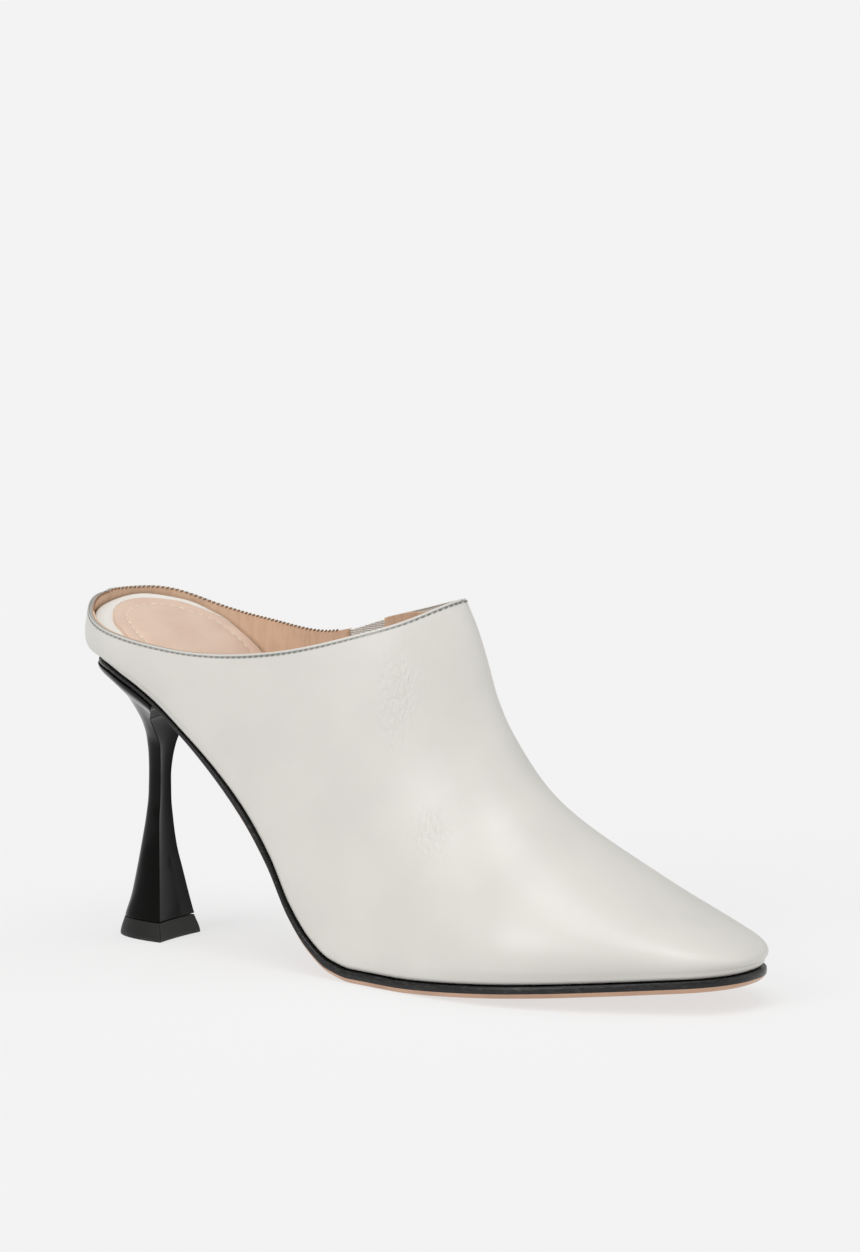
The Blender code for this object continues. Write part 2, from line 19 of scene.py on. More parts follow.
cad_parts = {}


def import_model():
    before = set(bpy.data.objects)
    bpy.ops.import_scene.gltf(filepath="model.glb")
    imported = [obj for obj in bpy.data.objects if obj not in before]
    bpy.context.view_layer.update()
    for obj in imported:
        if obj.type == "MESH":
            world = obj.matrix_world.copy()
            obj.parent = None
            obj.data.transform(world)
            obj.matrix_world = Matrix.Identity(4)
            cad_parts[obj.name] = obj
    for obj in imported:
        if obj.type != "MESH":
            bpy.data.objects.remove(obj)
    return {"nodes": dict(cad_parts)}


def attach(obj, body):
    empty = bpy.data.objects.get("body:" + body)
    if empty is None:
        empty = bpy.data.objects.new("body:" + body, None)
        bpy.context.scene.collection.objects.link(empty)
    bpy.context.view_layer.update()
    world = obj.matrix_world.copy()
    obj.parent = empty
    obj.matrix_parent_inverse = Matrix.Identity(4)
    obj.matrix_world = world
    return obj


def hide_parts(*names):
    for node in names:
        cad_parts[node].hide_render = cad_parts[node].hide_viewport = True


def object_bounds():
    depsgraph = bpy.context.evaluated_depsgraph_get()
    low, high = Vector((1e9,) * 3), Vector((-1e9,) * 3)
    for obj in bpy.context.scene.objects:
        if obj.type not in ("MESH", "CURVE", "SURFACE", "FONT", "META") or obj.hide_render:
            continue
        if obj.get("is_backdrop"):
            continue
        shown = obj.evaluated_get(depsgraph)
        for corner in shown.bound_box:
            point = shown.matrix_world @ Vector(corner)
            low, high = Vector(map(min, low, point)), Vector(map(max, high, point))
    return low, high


Array = np.ndarray
Triple = tuple[float, float, float]
Socket = bpy.types.NodeSocket
Piece = bpy.types.Object
LOG = logging.getLogger("heeled_mule")
MM = 0.001
QUARTER_TURN = np.pi / 2
TINY = 1e-9
PLAN_STEP = 1e-5
STATION_STEP = 1e-4
ANGLE_STEP = 1e-3
HALVINGS = 40


class OutlineRow(NamedTuple):
    """Half widths of the feather edge, as shares of the ball width."""

    station: float
    lateral: float
    medial: float


class BottomRow(NamedTuple):
    """Climb from tread to seat as a share of the seat's rise, and the sole's share of its full thickness."""

    station: float
    climb: float
    sole: float


class RidgeRow(NamedTuple):
    """The ridge over the foot: how far forward and how high, as shares of length and instep rise."""

    station: float
    forward: float
    height: float


class SectionRow(NamedTuple):
    """A cross-section's superellipse power, outward swell and the height share where it is widest."""

    station: float
    power: float
    swell: float
    peak: float


class ToplineRow(NamedTuple):
    """The collar's height on each side, as a share of the quarter's height."""

    station: float
    lateral: float
    medial: float


class HeelRow(NamedTuple):
    """The heel's breast and depth as shares of the seat length, its width as a share of the seat's."""

    station: float
    breast: float
    depth: float
    width: float


class FootbedRow(NamedTuple):
    """The insole's cushion as a share of its heel depth, its climb to the medial side and its border."""

    station: float
    fill: float
    tilt: float
    border: float


class FoldRow(NamedTuple):
    """A soft fold: depth, slant against the height, place and width along the shoe, height and reach."""

    depth: float
    slant: float
    place: float
    width: float
    height: float
    reach: float


def table(kind: type, *rows: tuple[float, ...]) -> tuple:
    """Return a table with one named row for each tuple."""
    return tuple(kind(*row) for row in rows)


OUTLINE = table(
    OutlineRow,
    (0.00, 0.315, 0.315),
    (0.10, 0.325, 0.322),
    (0.20, 0.334, 0.316),
    (0.31, 0.350, 0.305),
    (0.43, 0.395, 0.325),
    (0.53, 0.455, 0.400),
    (0.63, 0.503, 0.468),
    (0.72, 0.500, 0.492),
    (0.80, 0.440, 0.470),
    (0.88, 0.345, 0.390),
    (0.94, 0.264, 0.300),
    (1.00, 0.186, 0.208),
)
BOTTOM = table(
    BottomRow,
    (0.000, 1.000, 0.30),
    (0.050, 0.990, 0.30),
    (0.090, 0.955, 0.30),
    (0.135, 0.887, 0.30),
    (0.187, 0.778, 0.34),
    (0.240, 0.655, 0.60),
    (0.290, 0.514, 0.92),
    (0.330, 0.364, 1.02),
    (0.365, 0.194, 1.02),
    (0.400, 0.082, 1.00),
    (0.435, 0.021, 1.00),
    (0.475, 0.000, 1.00),
)
RIDGE = table(
    RidgeRow,
    (0.00, 0.030, 0.600),
    (0.10, 0.075, 0.670),
    (0.20, 0.120, 0.815),
    (0.28, 0.170, 0.950),
    (0.35, 0.203, 1.000),
    (0.43, 0.169, 0.915),
    (0.53, 0.120, 0.700),
    (0.63, 0.080, 0.530),
    (0.73, 0.055, 0.388),
    (0.83, 0.030, 0.258),
    (0.93, 0.005, 0.155),
    (1.00, -0.018, 0.092),
)
SECTIONS = table(
    SectionRow,
    (0.00, 2.4, 1.00, 0.18),
    (0.10, 2.4, 0.55, 0.20),
    (0.25, 2.2, 0.16, 0.25),
    (0.40, 2.0, 0.08, 0.25),
    (0.60, 2.0, 0.16, 0.25),
    (0.80, 2.2, 0.25, 0.35),
    (0.92, 2.4, 0.33, 0.45),
    (1.00, 2.4, 0.40, 0.45),
)
TOPLINE = table(
    ToplineRow,
    (-0.03, 1.04, 1.04),
    (0.00, 0.90, 1.04),
    (0.04, 0.76, 1.02),
    (0.15, 0.54, 0.75),
    (0.36, 0.20, 0.36),
    (0.54, 0.03, 0.09),
    (0.66, -0.03, 0.14),
    (0.82, -0.06, 0.12),
    (0.92, -0.07, 0.07),
    (1.00, 0.00, 0.00),
)
FOOTBED = table(
    FootbedRow,
    (0.000, 1.000, 0.160, 1.00),
    (0.040, 0.840, 0.130, 1.00),
    (0.080, 0.693, 0.100, 0.75),
    (0.120, 0.634, 0.087, 0.46),
    (0.180, 0.619, 0.072, 0.42),
    (0.240, 0.457, 0.040, 0.42),
    (0.290, 0.276, 0.020, 0.42),
    (0.340, 0.090, 0.000, 0.42),
    (0.400, 0.050, 0.000, 0.42),
    (0.475, 0.000, 0.000, 0.42),
)
HEEL = table(
    HeelRow,
    (-0.082, 0.826, 0.658, 0.438),
    (0.000, 0.784, 0.568, 0.380),
    (0.080, 0.752, 0.468, 0.326),
    (0.185, 0.713, 0.374, 0.260),
    (0.292, 0.674, 0.287, 0.194),
    (0.400, 0.652, 0.219, 0.155),
    (0.487, 0.645, 0.190, 0.128),
    (0.575, 0.645, 0.187, 0.122),
    (0.648, 0.655, 0.200, 0.140),
    (0.707, 0.671, 0.229, 0.178),
    (0.775, 0.687, 0.256, 0.310),
    (0.837, 0.729, 0.332, 0.485),
    (0.905, 0.852, 0.539, 0.717),
    (1.000, 1.000, 1.000, 1.000),
)
FOLDS = table(
    FoldRow,
    (-0.22 * MM, 0.35, 0.0470, 0.0042, 0.0330, 0.0120),
    (-0.16 * MM, 0.30, 0.0620, 0.0036, 0.0260, 0.0090),
    (-0.30 * MM, 0.20, -0.0260, 0.0130, 0.0780, 0.0200),
    (0.28 * MM, -0.10, -0.0195, 0.0085, 0.0820, 0.0240),
)


@lru_cache(maxsize=None)
def natural(table: tuple, column: str) -> Callable[[Array], Array]:
    """Return the natural cubic spline through one column of a table.

    Args:
        table: Rows with a station each.
        column: The column's name.

    Returns:
        A function of the station, whose second derivative is zero at both ends.
    """
    at = np.array([row.station for row in table])
    value = np.array([getattr(row, column) for row in table])
    step = np.diff(at)
    matrix, rhs = np.eye(len(at)), np.zeros(len(at))
    for row in range(1, len(at) - 1):
        matrix[row, row - 1 : row + 2] = step[row - 1], 2 * (step[row - 1] + step[row]), step[row]
        rise = np.diff(value[row - 1 : row + 2]) / step[row - 1 : row + 1]
        rhs[row] = 6 * (rise[1] - rise[0])
    bend = np.linalg.solve(matrix, rhs)

    def evaluate(station: Array) -> Array:
        """Evaluate the spline, held at its end rows outside them."""
        station = np.clip(np.asarray(station, float), at[0], at[-1])
        span = np.clip(np.searchsorted(at, station) - 1, 0, len(at) - 2)
        ahead, behind, width = at[span + 1] - station, station - at[span], step[span]
        cubic = (bend[span] * ahead**3 + bend[span + 1] * behind**3) / (6 * width)
        left = (value[span] / width - bend[span] * width / 6) * ahead
        right = (value[span + 1] / width - bend[span + 1] * width / 6) * behind
        return cubic + left + right

    return evaluate


@lru_cache(maxsize=None)
def monotone(table: tuple, column: str) -> Callable[[Array], Array]:
    """Return the cubic through one column of a table that never overshoots its rows.

    Args:
        table: Rows with a station each.
        column: The column's name.

    Returns:
        A function of the station, with harmonic-mean tangents.
    """
    at = np.array([row.station for row in table])
    value = np.array([getattr(row, column) for row in table])
    step = np.diff(at)
    slope = np.diff(value) / step
    tangent = np.zeros(len(at))
    for row in range(1, len(at) - 1):
        if slope[row - 1] * slope[row] > 0:
            before, after = 2 * step[row] + step[row - 1], step[row] + 2 * step[row - 1]
            tangent[row] = (before + after) / (before / slope[row - 1] + after / slope[row])

    def evaluate(station: Array) -> Array:
        """Evaluate the cubic, held at its end rows outside them."""
        station = np.clip(np.asarray(station, float), at[0], at[-1])
        span = np.clip(np.searchsorted(at, station) - 1, 0, len(at) - 2)
        u = (station - at[span]) / step[span]
        start = (2 * u**3 - 3 * u**2 + 1) * value[span] + (u**3 - 2 * u**2 + u) * step[span] * tangent[span]
        end = (3 * u**2 - 2 * u**3) * value[span + 1] + (u**3 - u**2) * step[span] * tangent[span + 1]
        return start + end

    return evaluate


def unit(vectors: Array) -> Array:
    """Return vectors scaled to length one."""
    return vectors / np.maximum(np.linalg.norm(vectors, axis=-1, keepdims=True), 1e-12)


def bell(value: Array, centre: float, width: float) -> Array:
    """Return a smooth bump of height one: exp of minus the squared distance in widths."""
    return np.exp(-(((value - centre) / width) ** 2))


@dataclass(frozen=True)
class Last:
    """The last that the shoe is made on: a bottom surface, a feather edge and leaning cross-sections."""

    length: float = 0.2260
    ball_width: float = 0.0765
    seat_height: float = 0.0865
    instep_rise: float = 0.0875
    quarter_height: float = 0.0180
    toe_spring: float = 0.0077
    sole_thickness: float = 0.0036
    feather_round: float = 0.0020
    swell: float = 0.0055
    arch_lift: float = 0.0020
    wall: float = 0.0018
    insole_thickness: float = 0.0020
    seat_fill: float = 0.0105
    fit_gap: float = 0.0003
    tread_start: float = 0.475
    tread_end: float = 0.55
    tread_blend: float = 0.10
    vamp_station: float = 0.35
    vamp_foot: float = 0.42
    vamp_crowding: float = 1.8
    heel_curve_end: float = 0.11
    toe_curve_start: float = 0.94
    toe_curve_power: float = 2.5
    arch_start: float = 0.18

    @property
    def tread_x(self) -> float:
        """How far the origin lies in front of the heel back."""
        return self.length * (self.tread_start + self.tread_end) / 2

    def half_width(self, station: Array, side: Array) -> Array:
        """Return the feather edge's distance from the middle plane.

        The heel closes as a circle and the toe as a superellipse, both multiplying the outline's spline.
        """
        width = np.where(side > 0, natural(OUTLINE, "medial")(station), natural(OUTLINE, "lateral")(station))
        heel = np.clip(1 - station / self.heel_curve_end, 0, 1)
        toe = np.clip((station - self.toe_curve_start) / (1 - self.toe_curve_start), 0, 1)
        toe_opening = (1 - toe**self.toe_curve_power) ** (1 / self.toe_curve_power)
        return self.ball_width * width * np.sqrt(1 - heel**2) * toe_opening

    def plan_normal(self, station: Array, side: Array) -> tuple[Array, Array]:
        """Return the outward direction of the feather edge in plan, square to its tangent."""
        before, after = np.clip(station - PLAN_STEP, 0, 1), np.clip(station + PLAN_STEP, 0, 1)
        growth = (self.half_width(after, side) - self.half_width(before, side)) / (after - before)
        size = np.hypot(growth, self.length)
        return -growth / size, side * self.length / size

    def bottom(self, x: Array, y: Array) -> Array:
        """Return the bottom's height: seat climb, quadratic toe spring and a sine-squared medial arch."""
        station = np.clip((x + self.tread_x) / self.length, 0, 1)
        level = self.sole_thickness + self.fit_gap
        seat = (self.seat_height - level) * monotone(BOTTOM, "climb")(station)
        past = np.clip(station - self.tread_end, 0, 1) / (1 - self.tread_end)
        spring = self.toe_spring * past**2 * (1 + self.tread_blend) / (past + self.tread_blend)
        along = np.clip((station - self.arch_start) / (self.tread_start - self.arch_start), 0, 1)
        arch = self.arch_lift * np.sin(np.pi * along) ** 2 * (np.clip(y, 0, 1) * 2 / self.ball_width) ** 1.5
        return level + seat + spring + arch

    def upright(self, x: Array) -> Array:
        """Return the upright measure of a unit thickness that stands square to the sloping bottom."""
        slope = (self.bottom(x + 0.0005, 0) - self.bottom(x - 0.0005, 0)) / 0.001
        return np.sqrt(1 + slope**2)

    def edge(self, station: Array, side: Array, offset: Array, height: Array) -> Array:
        """Return points beside the feather edge: offset outwards in plan, height square to the bottom."""
        normal_x, normal_y = self.plan_normal(station, side)
        x = self.length * station - self.tread_x + normal_x * offset
        y = side * self.half_width(station, side) + normal_y * offset
        return np.stack(np.broadcast_arrays(x, y, self.bottom(x, y) + height * self.upright(x)), -1)

    def skin(self, station: Array, side: Array, angle: Array) -> Array:
        """Return points of the outer face.

        A superellipse quarter joins the feather edge (angle 0) to the ridge (a quarter turn), in a plane that
        leans forward, and a sine bulge along the plan normal swells it.
        """
        power = natural(SECTIONS, "power")(station)
        reach = (np.abs(np.cos(angle)) ** power + np.abs(np.sin(angle)) ** power) ** (-1 / power)
        out, up = reach * np.cos(angle), np.clip(reach * np.sin(angle), 0, 1)
        foot = self.edge(station, side, 0.0, self.feather_round)
        ridge_x = foot[..., 0] + self.length * natural(RIDGE, "forward")(station)
        ridge_z = self.bottom(foot[..., 0], 0) + self.instep_rise * natural(RIDGE, "height")(station)
        rise = up ** (np.log(0.5) / np.log(natural(SECTIONS, "peak")(station)))
        swell = self.swell * natural(SECTIONS, "swell")(station) * np.sin(np.pi * rise)
        normal_x, normal_y = self.plan_normal(station, side)
        x = foot[..., 0] + (ridge_x - foot[..., 0]) * up + swell * normal_x
        y = foot[..., 1] * out + swell * normal_y
        z = foot[..., 2] + (ridge_z - foot[..., 2]) * up
        return np.stack(np.broadcast_arrays(x, y, z), -1)

    def tangents(self, station: Array, side: Array, angle: Array) -> tuple[Array, Array]:
        """Return the skin's derivatives along the station and the angle, by central differences."""
        before, after = np.clip(station - STATION_STEP, 0, 1), np.clip(station + STATION_STEP, 0, 1)
        along = self.skin(after, side, angle) - self.skin(before, side, angle)
        under, over = np.maximum(angle - ANGLE_STEP, 0), angle + ANGLE_STEP
        round_foot = self.skin(station, side, over) - self.skin(station, side, under)
        return along / (after - before)[..., None], round_foot / (2 * ANGLE_STEP)

    def normal(self, station: Array, side: Array, angle: Array) -> Array:
        """Return the skin's outward unit normal, the cross product of its two tangents."""
        along, round_foot = self.tangents(station, side, angle)
        normal = unit(np.cross(along, round_foot) * -np.asarray(side, float)[..., None])
        on_ridge = np.asarray(angle) > QUARTER_TURN - 1e-6
        normal[..., 1] = np.where(on_ridge, 0, normal[..., 1])
        return unit(normal)

    @property
    def vamp_point(self) -> Array:
        """The top of the vamp, where the collar meets the ridge."""
        return self.skin(np.array(self.vamp_station), 1, np.array(QUARTER_TURN))

    def topline(self, x: Array, side: Array) -> Array:
        """Return the collar's height: a parabola from the seat to the vamp point plus each side's spline."""
        point = self.vamp_point
        along = (x + self.tread_x) / (point[0] + self.tread_x)
        quarter = np.where(side > 0, natural(TOPLINE, "medial")(along), natural(TOPLINE, "lateral")(along))
        climb = (point[2] - self.seat_height) * np.clip(along, 0, 1) ** 2
        return self.seat_height + climb + self.quarter_height * quarter

    def crowded_to_vamp(self, start: float, count: int) -> Array:
        """Return a number of stations from a start to the vamp point, crowded towards it by a power."""
        behind = np.linspace(1, 0, count) ** self.vamp_crowding
        return self.vamp_station - (self.vamp_station - start) * behind

    def angle_at(self, station: Array, side: Array, above: Callable[[Array], Array]) -> Array:
        """Return the angle from which the skin's points lie above something, by bisection.

        Args:
            station: Stations of the points.
            side: Side of each, or of all.
            above: Says for each of an array of points whether it lies above.

        Returns:
            An angle for each station.
        """
        low, high = np.zeros(np.shape(station)), np.full(np.shape(station), QUARTER_TURN)
        for _ in range(HALVINGS):
            middle = (low + high) / 2
            over = above(self.skin(station, side, middle))
            low, high = np.where(over, low, middle), np.where(over, middle, high)
        return high

    def top_angle(self, station: Array, side: Array) -> Array:
        """Return the angle where the skin meets the topline, or the ridge past the vamp point."""
        meets = self.angle_at(station, side, lambda at: at[..., 2] > self.topline(at[..., 0], side))
        return np.where(station < self.vamp_station - TINY, meets, QUARTER_TURN)

    def footbed(self, x: Array, y: Array, thickness: Array | float = 0.0) -> Array:
        """Return the height of the insole's top, or of what lies on it at a thickness over it.

        The board and a cushion stand square to the bottom, and the whole climbs evenly to the medial side.
        """
        station = (x + self.tread_x) / self.length
        board = self.wall + 1.5 * self.fit_gap + self.insole_thickness
        deep = board + self.seat_fill * monotone(FOOTBED, "fill")(station) + thickness
        return self.bottom(x, y) + deep * self.upright(x) + monotone(FOOTBED, "tilt")(station) * y

    def footbed_edge(self, station: Array, side: float, share: float, inset: Array | float) -> Array:
        """Return the insole's edge at a share of its height, an inset in plan inside the last's face."""
        meets = self.angle_at(station, side, lambda at: at[:, 2] > self.footbed(at[:, 0], at[:, 1]))
        edge = self.skin(station, side, meets * share)
        normal_x, normal_y = self.plan_normal(station, side)
        edge[:, 0] -= normal_x * inset
        edge[:, 1] -= normal_y * inset
        edge[(station <= 0) | (station >= 1), 1] = 0
        return edge

    def settle(
        self, target: Array, side: Array, station: Array, angle: Array, axes: list[int]
    ) -> tuple[Array, Array]:
        """Find where the skin comes nearest to target points, by Gauss-Newton steps.

        Args:
            target: Points to reach.
            side: Side of each.
            station: First guess.
            angle: First guess.
            axes: The coordinates that count.

        Returns:
            Station and angle of each.
        """
        for _ in range(12):
            miss = (target - self.skin(station, side, angle))[..., axes]
            slopes = np.stack(self.tangents(station, side, angle), -1)[..., axes, :]
            square = np.einsum("nki,nkj->nij", slopes, slopes) + 1e-12 * np.eye(2)
            step = np.linalg.solve(square, np.einsum("nki,nk->ni", slopes, miss)[..., None])[..., 0]
            station = np.clip(station + np.clip(step[..., 0], -0.05, 0.05), 0, 1)
            angle = np.clip(angle + np.clip(step[..., 1], -0.3, 0.3), 0, QUARTER_TURN)
        return station, angle


LAST = Last()


def grid_faces(rows: int, columns: int, first: int = 0, closed: bool = False) -> Array:
    """Return the quads of a grid numbered row by row.

    Args:
        rows: Rows of points.
        columns: Columns of points.
        first: Index of the first point.
        closed: Whether the last column joins the first.

    Returns:
        An array of four indices per quad.
    """
    index = first + np.arange(rows * columns).reshape(rows, columns)
    if closed:
        index = np.concatenate([index, index[:, :1]], 1)
    corners = index[:-1, :-1], index[:-1, 1:], index[1:, 1:], index[1:, :-1]
    return np.stack(corners, -1).reshape(-1, 4)


def mesh_object(
    name: str, points: Array, faces: Array, *, merge: bool = True, crease_angle: float = 40.0
) -> Piece:
    """Make a smooth-shaded mesh object with its place in its mesh.

    Args:
        name: The object's name.
        points: Points, one row each.
        faces: Quads, one row each; a corner may repeat.
        merge: Whether to join points that coincide and turn closed surfaces outwards.
        crease_angle: Edges sharper than this many degrees shade sharp.

    Returns:
        The object, linked to the scene.
    """
    mesh = bpy.data.meshes.new(name)
    mesh.from_pydata(points.tolist(), [], faces.tolist())
    shape = bmesh.new()
    shape.from_mesh(mesh)
    if merge:
        bmesh.ops.remove_doubles(shape, verts=shape.verts, dist=2e-6)
        bmesh.ops.dissolve_degenerate(shape, edges=shape.edges, dist=1e-7)
        bmesh.ops.recalc_face_normals(shape, faces=shape.faces)
    shape.to_mesh(mesh)
    shape.free()
    mesh.shade_smooth()
    mesh.set_sharp_from_angle(angle=np.radians(crease_angle))
    made = bpy.data.objects.new(name, mesh)
    bpy.context.scene.collection.objects.link(made)
    return made


def across(lateral: Array, medial: Array, steps: int) -> Array:
    """Return a plan grid from the lateral to the medial edge, its columns crowded at both by a cosine."""
    share = ((1 - np.cos(np.linspace(0, np.pi, steps + 1))) / 2)[None, :, None]
    return lateral[:, None, :] * (1 - share) + medial[:, None, :] * share


def rim(grid: Array) -> Array:
    """Return the closed ring of points round a grid."""
    return np.concatenate([grid[0, :-1], grid[:-1, -1], grid[-1, :0:-1], grid[:0:-1, 0]])


def plate_object(name: str, grids: list[Array], crease_angle: float = 40.0) -> Piece:
    """Make a closed plate from like grids, bottom to top; those between give only its sides.

    Args:
        name: The object's name.
        grids: Grids of points of one size.
        crease_angle: Edges sharper than this many degrees shade sharp.

    Returns:
        The object.
    """
    rows, columns = grids[0].shape[:2]
    size = rows * columns
    rings = [rim(grid) for grid in grids]
    points = np.concatenate([grids[0].reshape(-1, 3), grids[-1].reshape(-1, 3), *rings])
    faces = [grid_faces(rows, columns), grid_faces(rows, columns, size)]
    faces.append(grid_faces(len(rings), len(rings[0]), 2 * size, closed=True))
    return mesh_object(name, points, np.concatenate(faces), crease_angle=crease_angle)


def distance_to(points: Array, path: Array) -> Array:
    """Return each point's distance to the nearest point of a finely stepped path, in blocks of points."""
    blocks = np.array_split(points, max(1, len(points) // 4000))
    return np.concatenate([np.sqrt(((block[:, None] - path[None]) ** 2).sum(-1)).min(1) for block in blocks])


def by_length(path: Array, pitch: float, start: float = 0.0) -> tuple[Array, Array]:
    """Return points at an even pitch along a path, and the path's direction at each.

    Args:
        path: Points of the path.
        pitch: Distance between points along it.
        start: Distance of the first point from the path's start.

    Returns:
        Points and unit directions.
    """
    length = np.append(0, np.cumsum(np.linalg.norm(np.diff(path, axis=0), axis=1)))
    want = np.arange(start, length[-1], pitch)
    at = np.stack([np.interp(want, length, path[:, axis]) for axis in range(3)], -1)
    ahead = np.stack([np.interp(want + pitch / 4, length, path[:, axis]) for axis in range(3)], -1)
    behind = np.stack([np.interp(want - pitch / 4, length, path[:, axis]) for axis in range(3)], -1)
    return at, unit(ahead - behind)


class Paint:
    """A material being put together round its Principled shader."""

    def __init__(self, name: str, colour: Triple, roughness: float, reflectance: float = 0.5) -> None:
        """Start a material with one colour, one roughness and one reflectance."""
        self.material = bpy.data.materials.new(name)
        self.material.use_nodes = True
        self.tree = self.material.node_tree
        self.shader = self.tree.nodes["Principled BSDF"]
        self.roughness = roughness
        self.set("Base Color", (*colour, 1))
        self.set("Roughness", roughness)
        self.set("Specular IOR Level", reflectance)
        self.material.diffuse_color = (*colour, 1)
        self.normal: Socket | None = None

    def set(self, name: str, value: object) -> None:
        """Set one of the shader's own inputs."""
        self.shader.inputs[name].default_value = value

    def node(self, kind: str, inputs: dict | None = None, **settings: object) -> bpy.types.Node:
        """Add a node; inputs holds a value or a socket for each input by name or number."""
        made = self.tree.nodes.new(kind)
        for name, value in settings.items():
            setattr(made, name, value)
        for name, value in (inputs or {}).items():
            if isinstance(value, Socket):
                self.tree.links.new(value, made.inputs[name])
            else:
                made.inputs[name].default_value = value
        return made

    def place(self, stretch: Triple = (1, 1, 1)) -> Socket:
        """Return object coordinates, scaled along each axis."""
        source = self.node("ShaderNodeTexCoord").outputs["Object"]
        return self.node("ShaderNodeMapping", {"Vector": source, "Scale": stretch}).outputs["Vector"]

    def noise(self, size: float, detail: float = 3.0, stretch: Triple = (1, 1, 1)) -> Socket:
        """Return a noise of a feature size in metres, from 0 to 1."""
        inputs = {"Vector": self.place(stretch), "Scale": 1 / size, "Detail": detail}
        return self.node("ShaderNodeTexNoise", inputs).outputs["Fac"]

    def cells(self, size: float, feature: str = "DISTANCE_TO_EDGE") -> Socket:
        """Return the distance field of a cell pattern of a size in metres."""
        inputs = {"Vector": self.place(), "Scale": 1 / size}
        return self.node("ShaderNodeTexVoronoi", inputs, feature=feature).outputs["Distance"]

    def attribute(self, name: str) -> Socket:
        """Return one of the piece's own numbers."""
        return self.node("ShaderNodeAttribute", attribute_name=name).outputs["Fac"]

    def maths(self, operation: str, first: object, second: object = 0.0) -> Socket:
        """Return one arithmetic step."""
        return self.node("ShaderNodeMath", {0: first, 1: second}, operation=operation).outputs[0]

    def spread(self, value: object, low: float, high: float, to_low: float, to_high: float) -> Socket:
        """Return a value mapped smoothly from one range to another, held at both ends."""
        inputs = {"Value": value, "From Min": low, "From Max": high, "To Min": to_low, "To Max": to_high}
        return self.node("ShaderNodeMapRange", inputs, interpolation_type="SMOOTHSTEP").outputs["Result"]

    def fade(self, value: object, low: float, high: float, top: float = 1.0) -> Socket:
        """Return a factor that rises smoothly from nothing at low to its top at high."""
        return self.spread(value, low, high, 0.0, top)

    def uneven(self, value: object, low: float, high: float, under: float, over: float) -> Socket:
        """Return a roughness that drifts from under to over the material's own one."""
        return self.spread(value, low, high, self.roughness - under, self.roughness + over)

    def near(self, value: object, centre: float, width: float) -> Socket:
        """Return one at a value's centre, falling smoothly to zero a width away on both sides."""
        off = self.maths("ABSOLUTE", self.maths("SUBTRACT", value, centre))
        return self.spread(off, 0.0, width, 1.0, 0.0)

    def blob(self, centre: Triple, stretch: Triple, reach: float) -> Socket:
        """Return a patch that is one at a place on the shoe and fades to zero a reach away."""
        kind = "ShaderNodeVectorMath"
        moved = self.node(kind, {0: self.place(), 1: centre}, operation="SUBTRACT").outputs[0]
        scaled = self.node(kind, {0: moved, 1: stretch}, operation="MULTIPLY").outputs[0]
        length = self.node(kind, {0: scaled}, operation="LENGTH").outputs["Value"]
        return self.spread(length, 0.0, reach, 1.0, 0.0)

    def tint(self, factor: Socket, first: object, second: Triple) -> Socket:
        """Return a colour mixed from the first to the second by a factor."""
        mix = self.node("ShaderNodeMix", data_type="RGBA")
        self.tree.links.new(factor, mix.inputs[0])
        if isinstance(first, Socket):
            self.tree.links.new(first, mix.inputs[6])
        else:
            mix.inputs[6].default_value = (*first, 1)
        mix.inputs[7].default_value = (*second, 1)
        return mix.outputs[2]

    def bump(self, height: Socket, depth: float, strength: float = 1.0) -> None:
        """Add relief of a depth in metres on top of what is there."""
        made = self.node("ShaderNodeBump", {"Height": height, "Distance": depth, "Strength": strength})
        if self.normal is not None:
            self.tree.links.new(self.normal, made.inputs["Normal"])
        self.normal = made.outputs["Normal"]

    def finish(self, colour: Socket | None = None, roughness: Socket | None = None) -> bpy.types.Material:
        """Wire colour, roughness and relief to the shader and return the material."""
        for value, name in ((colour, "Base Color"), (roughness, "Roughness"), (self.normal, "Normal")):
            if value is not None:
                self.tree.links.new(value, self.shader.inputs[name])
        return self.material


def shaded(colour: Triple, share: float) -> Triple:
    """Return a colour with each channel times a share, held at one."""
    return tuple(min(1.0, value * share) for value in colour)


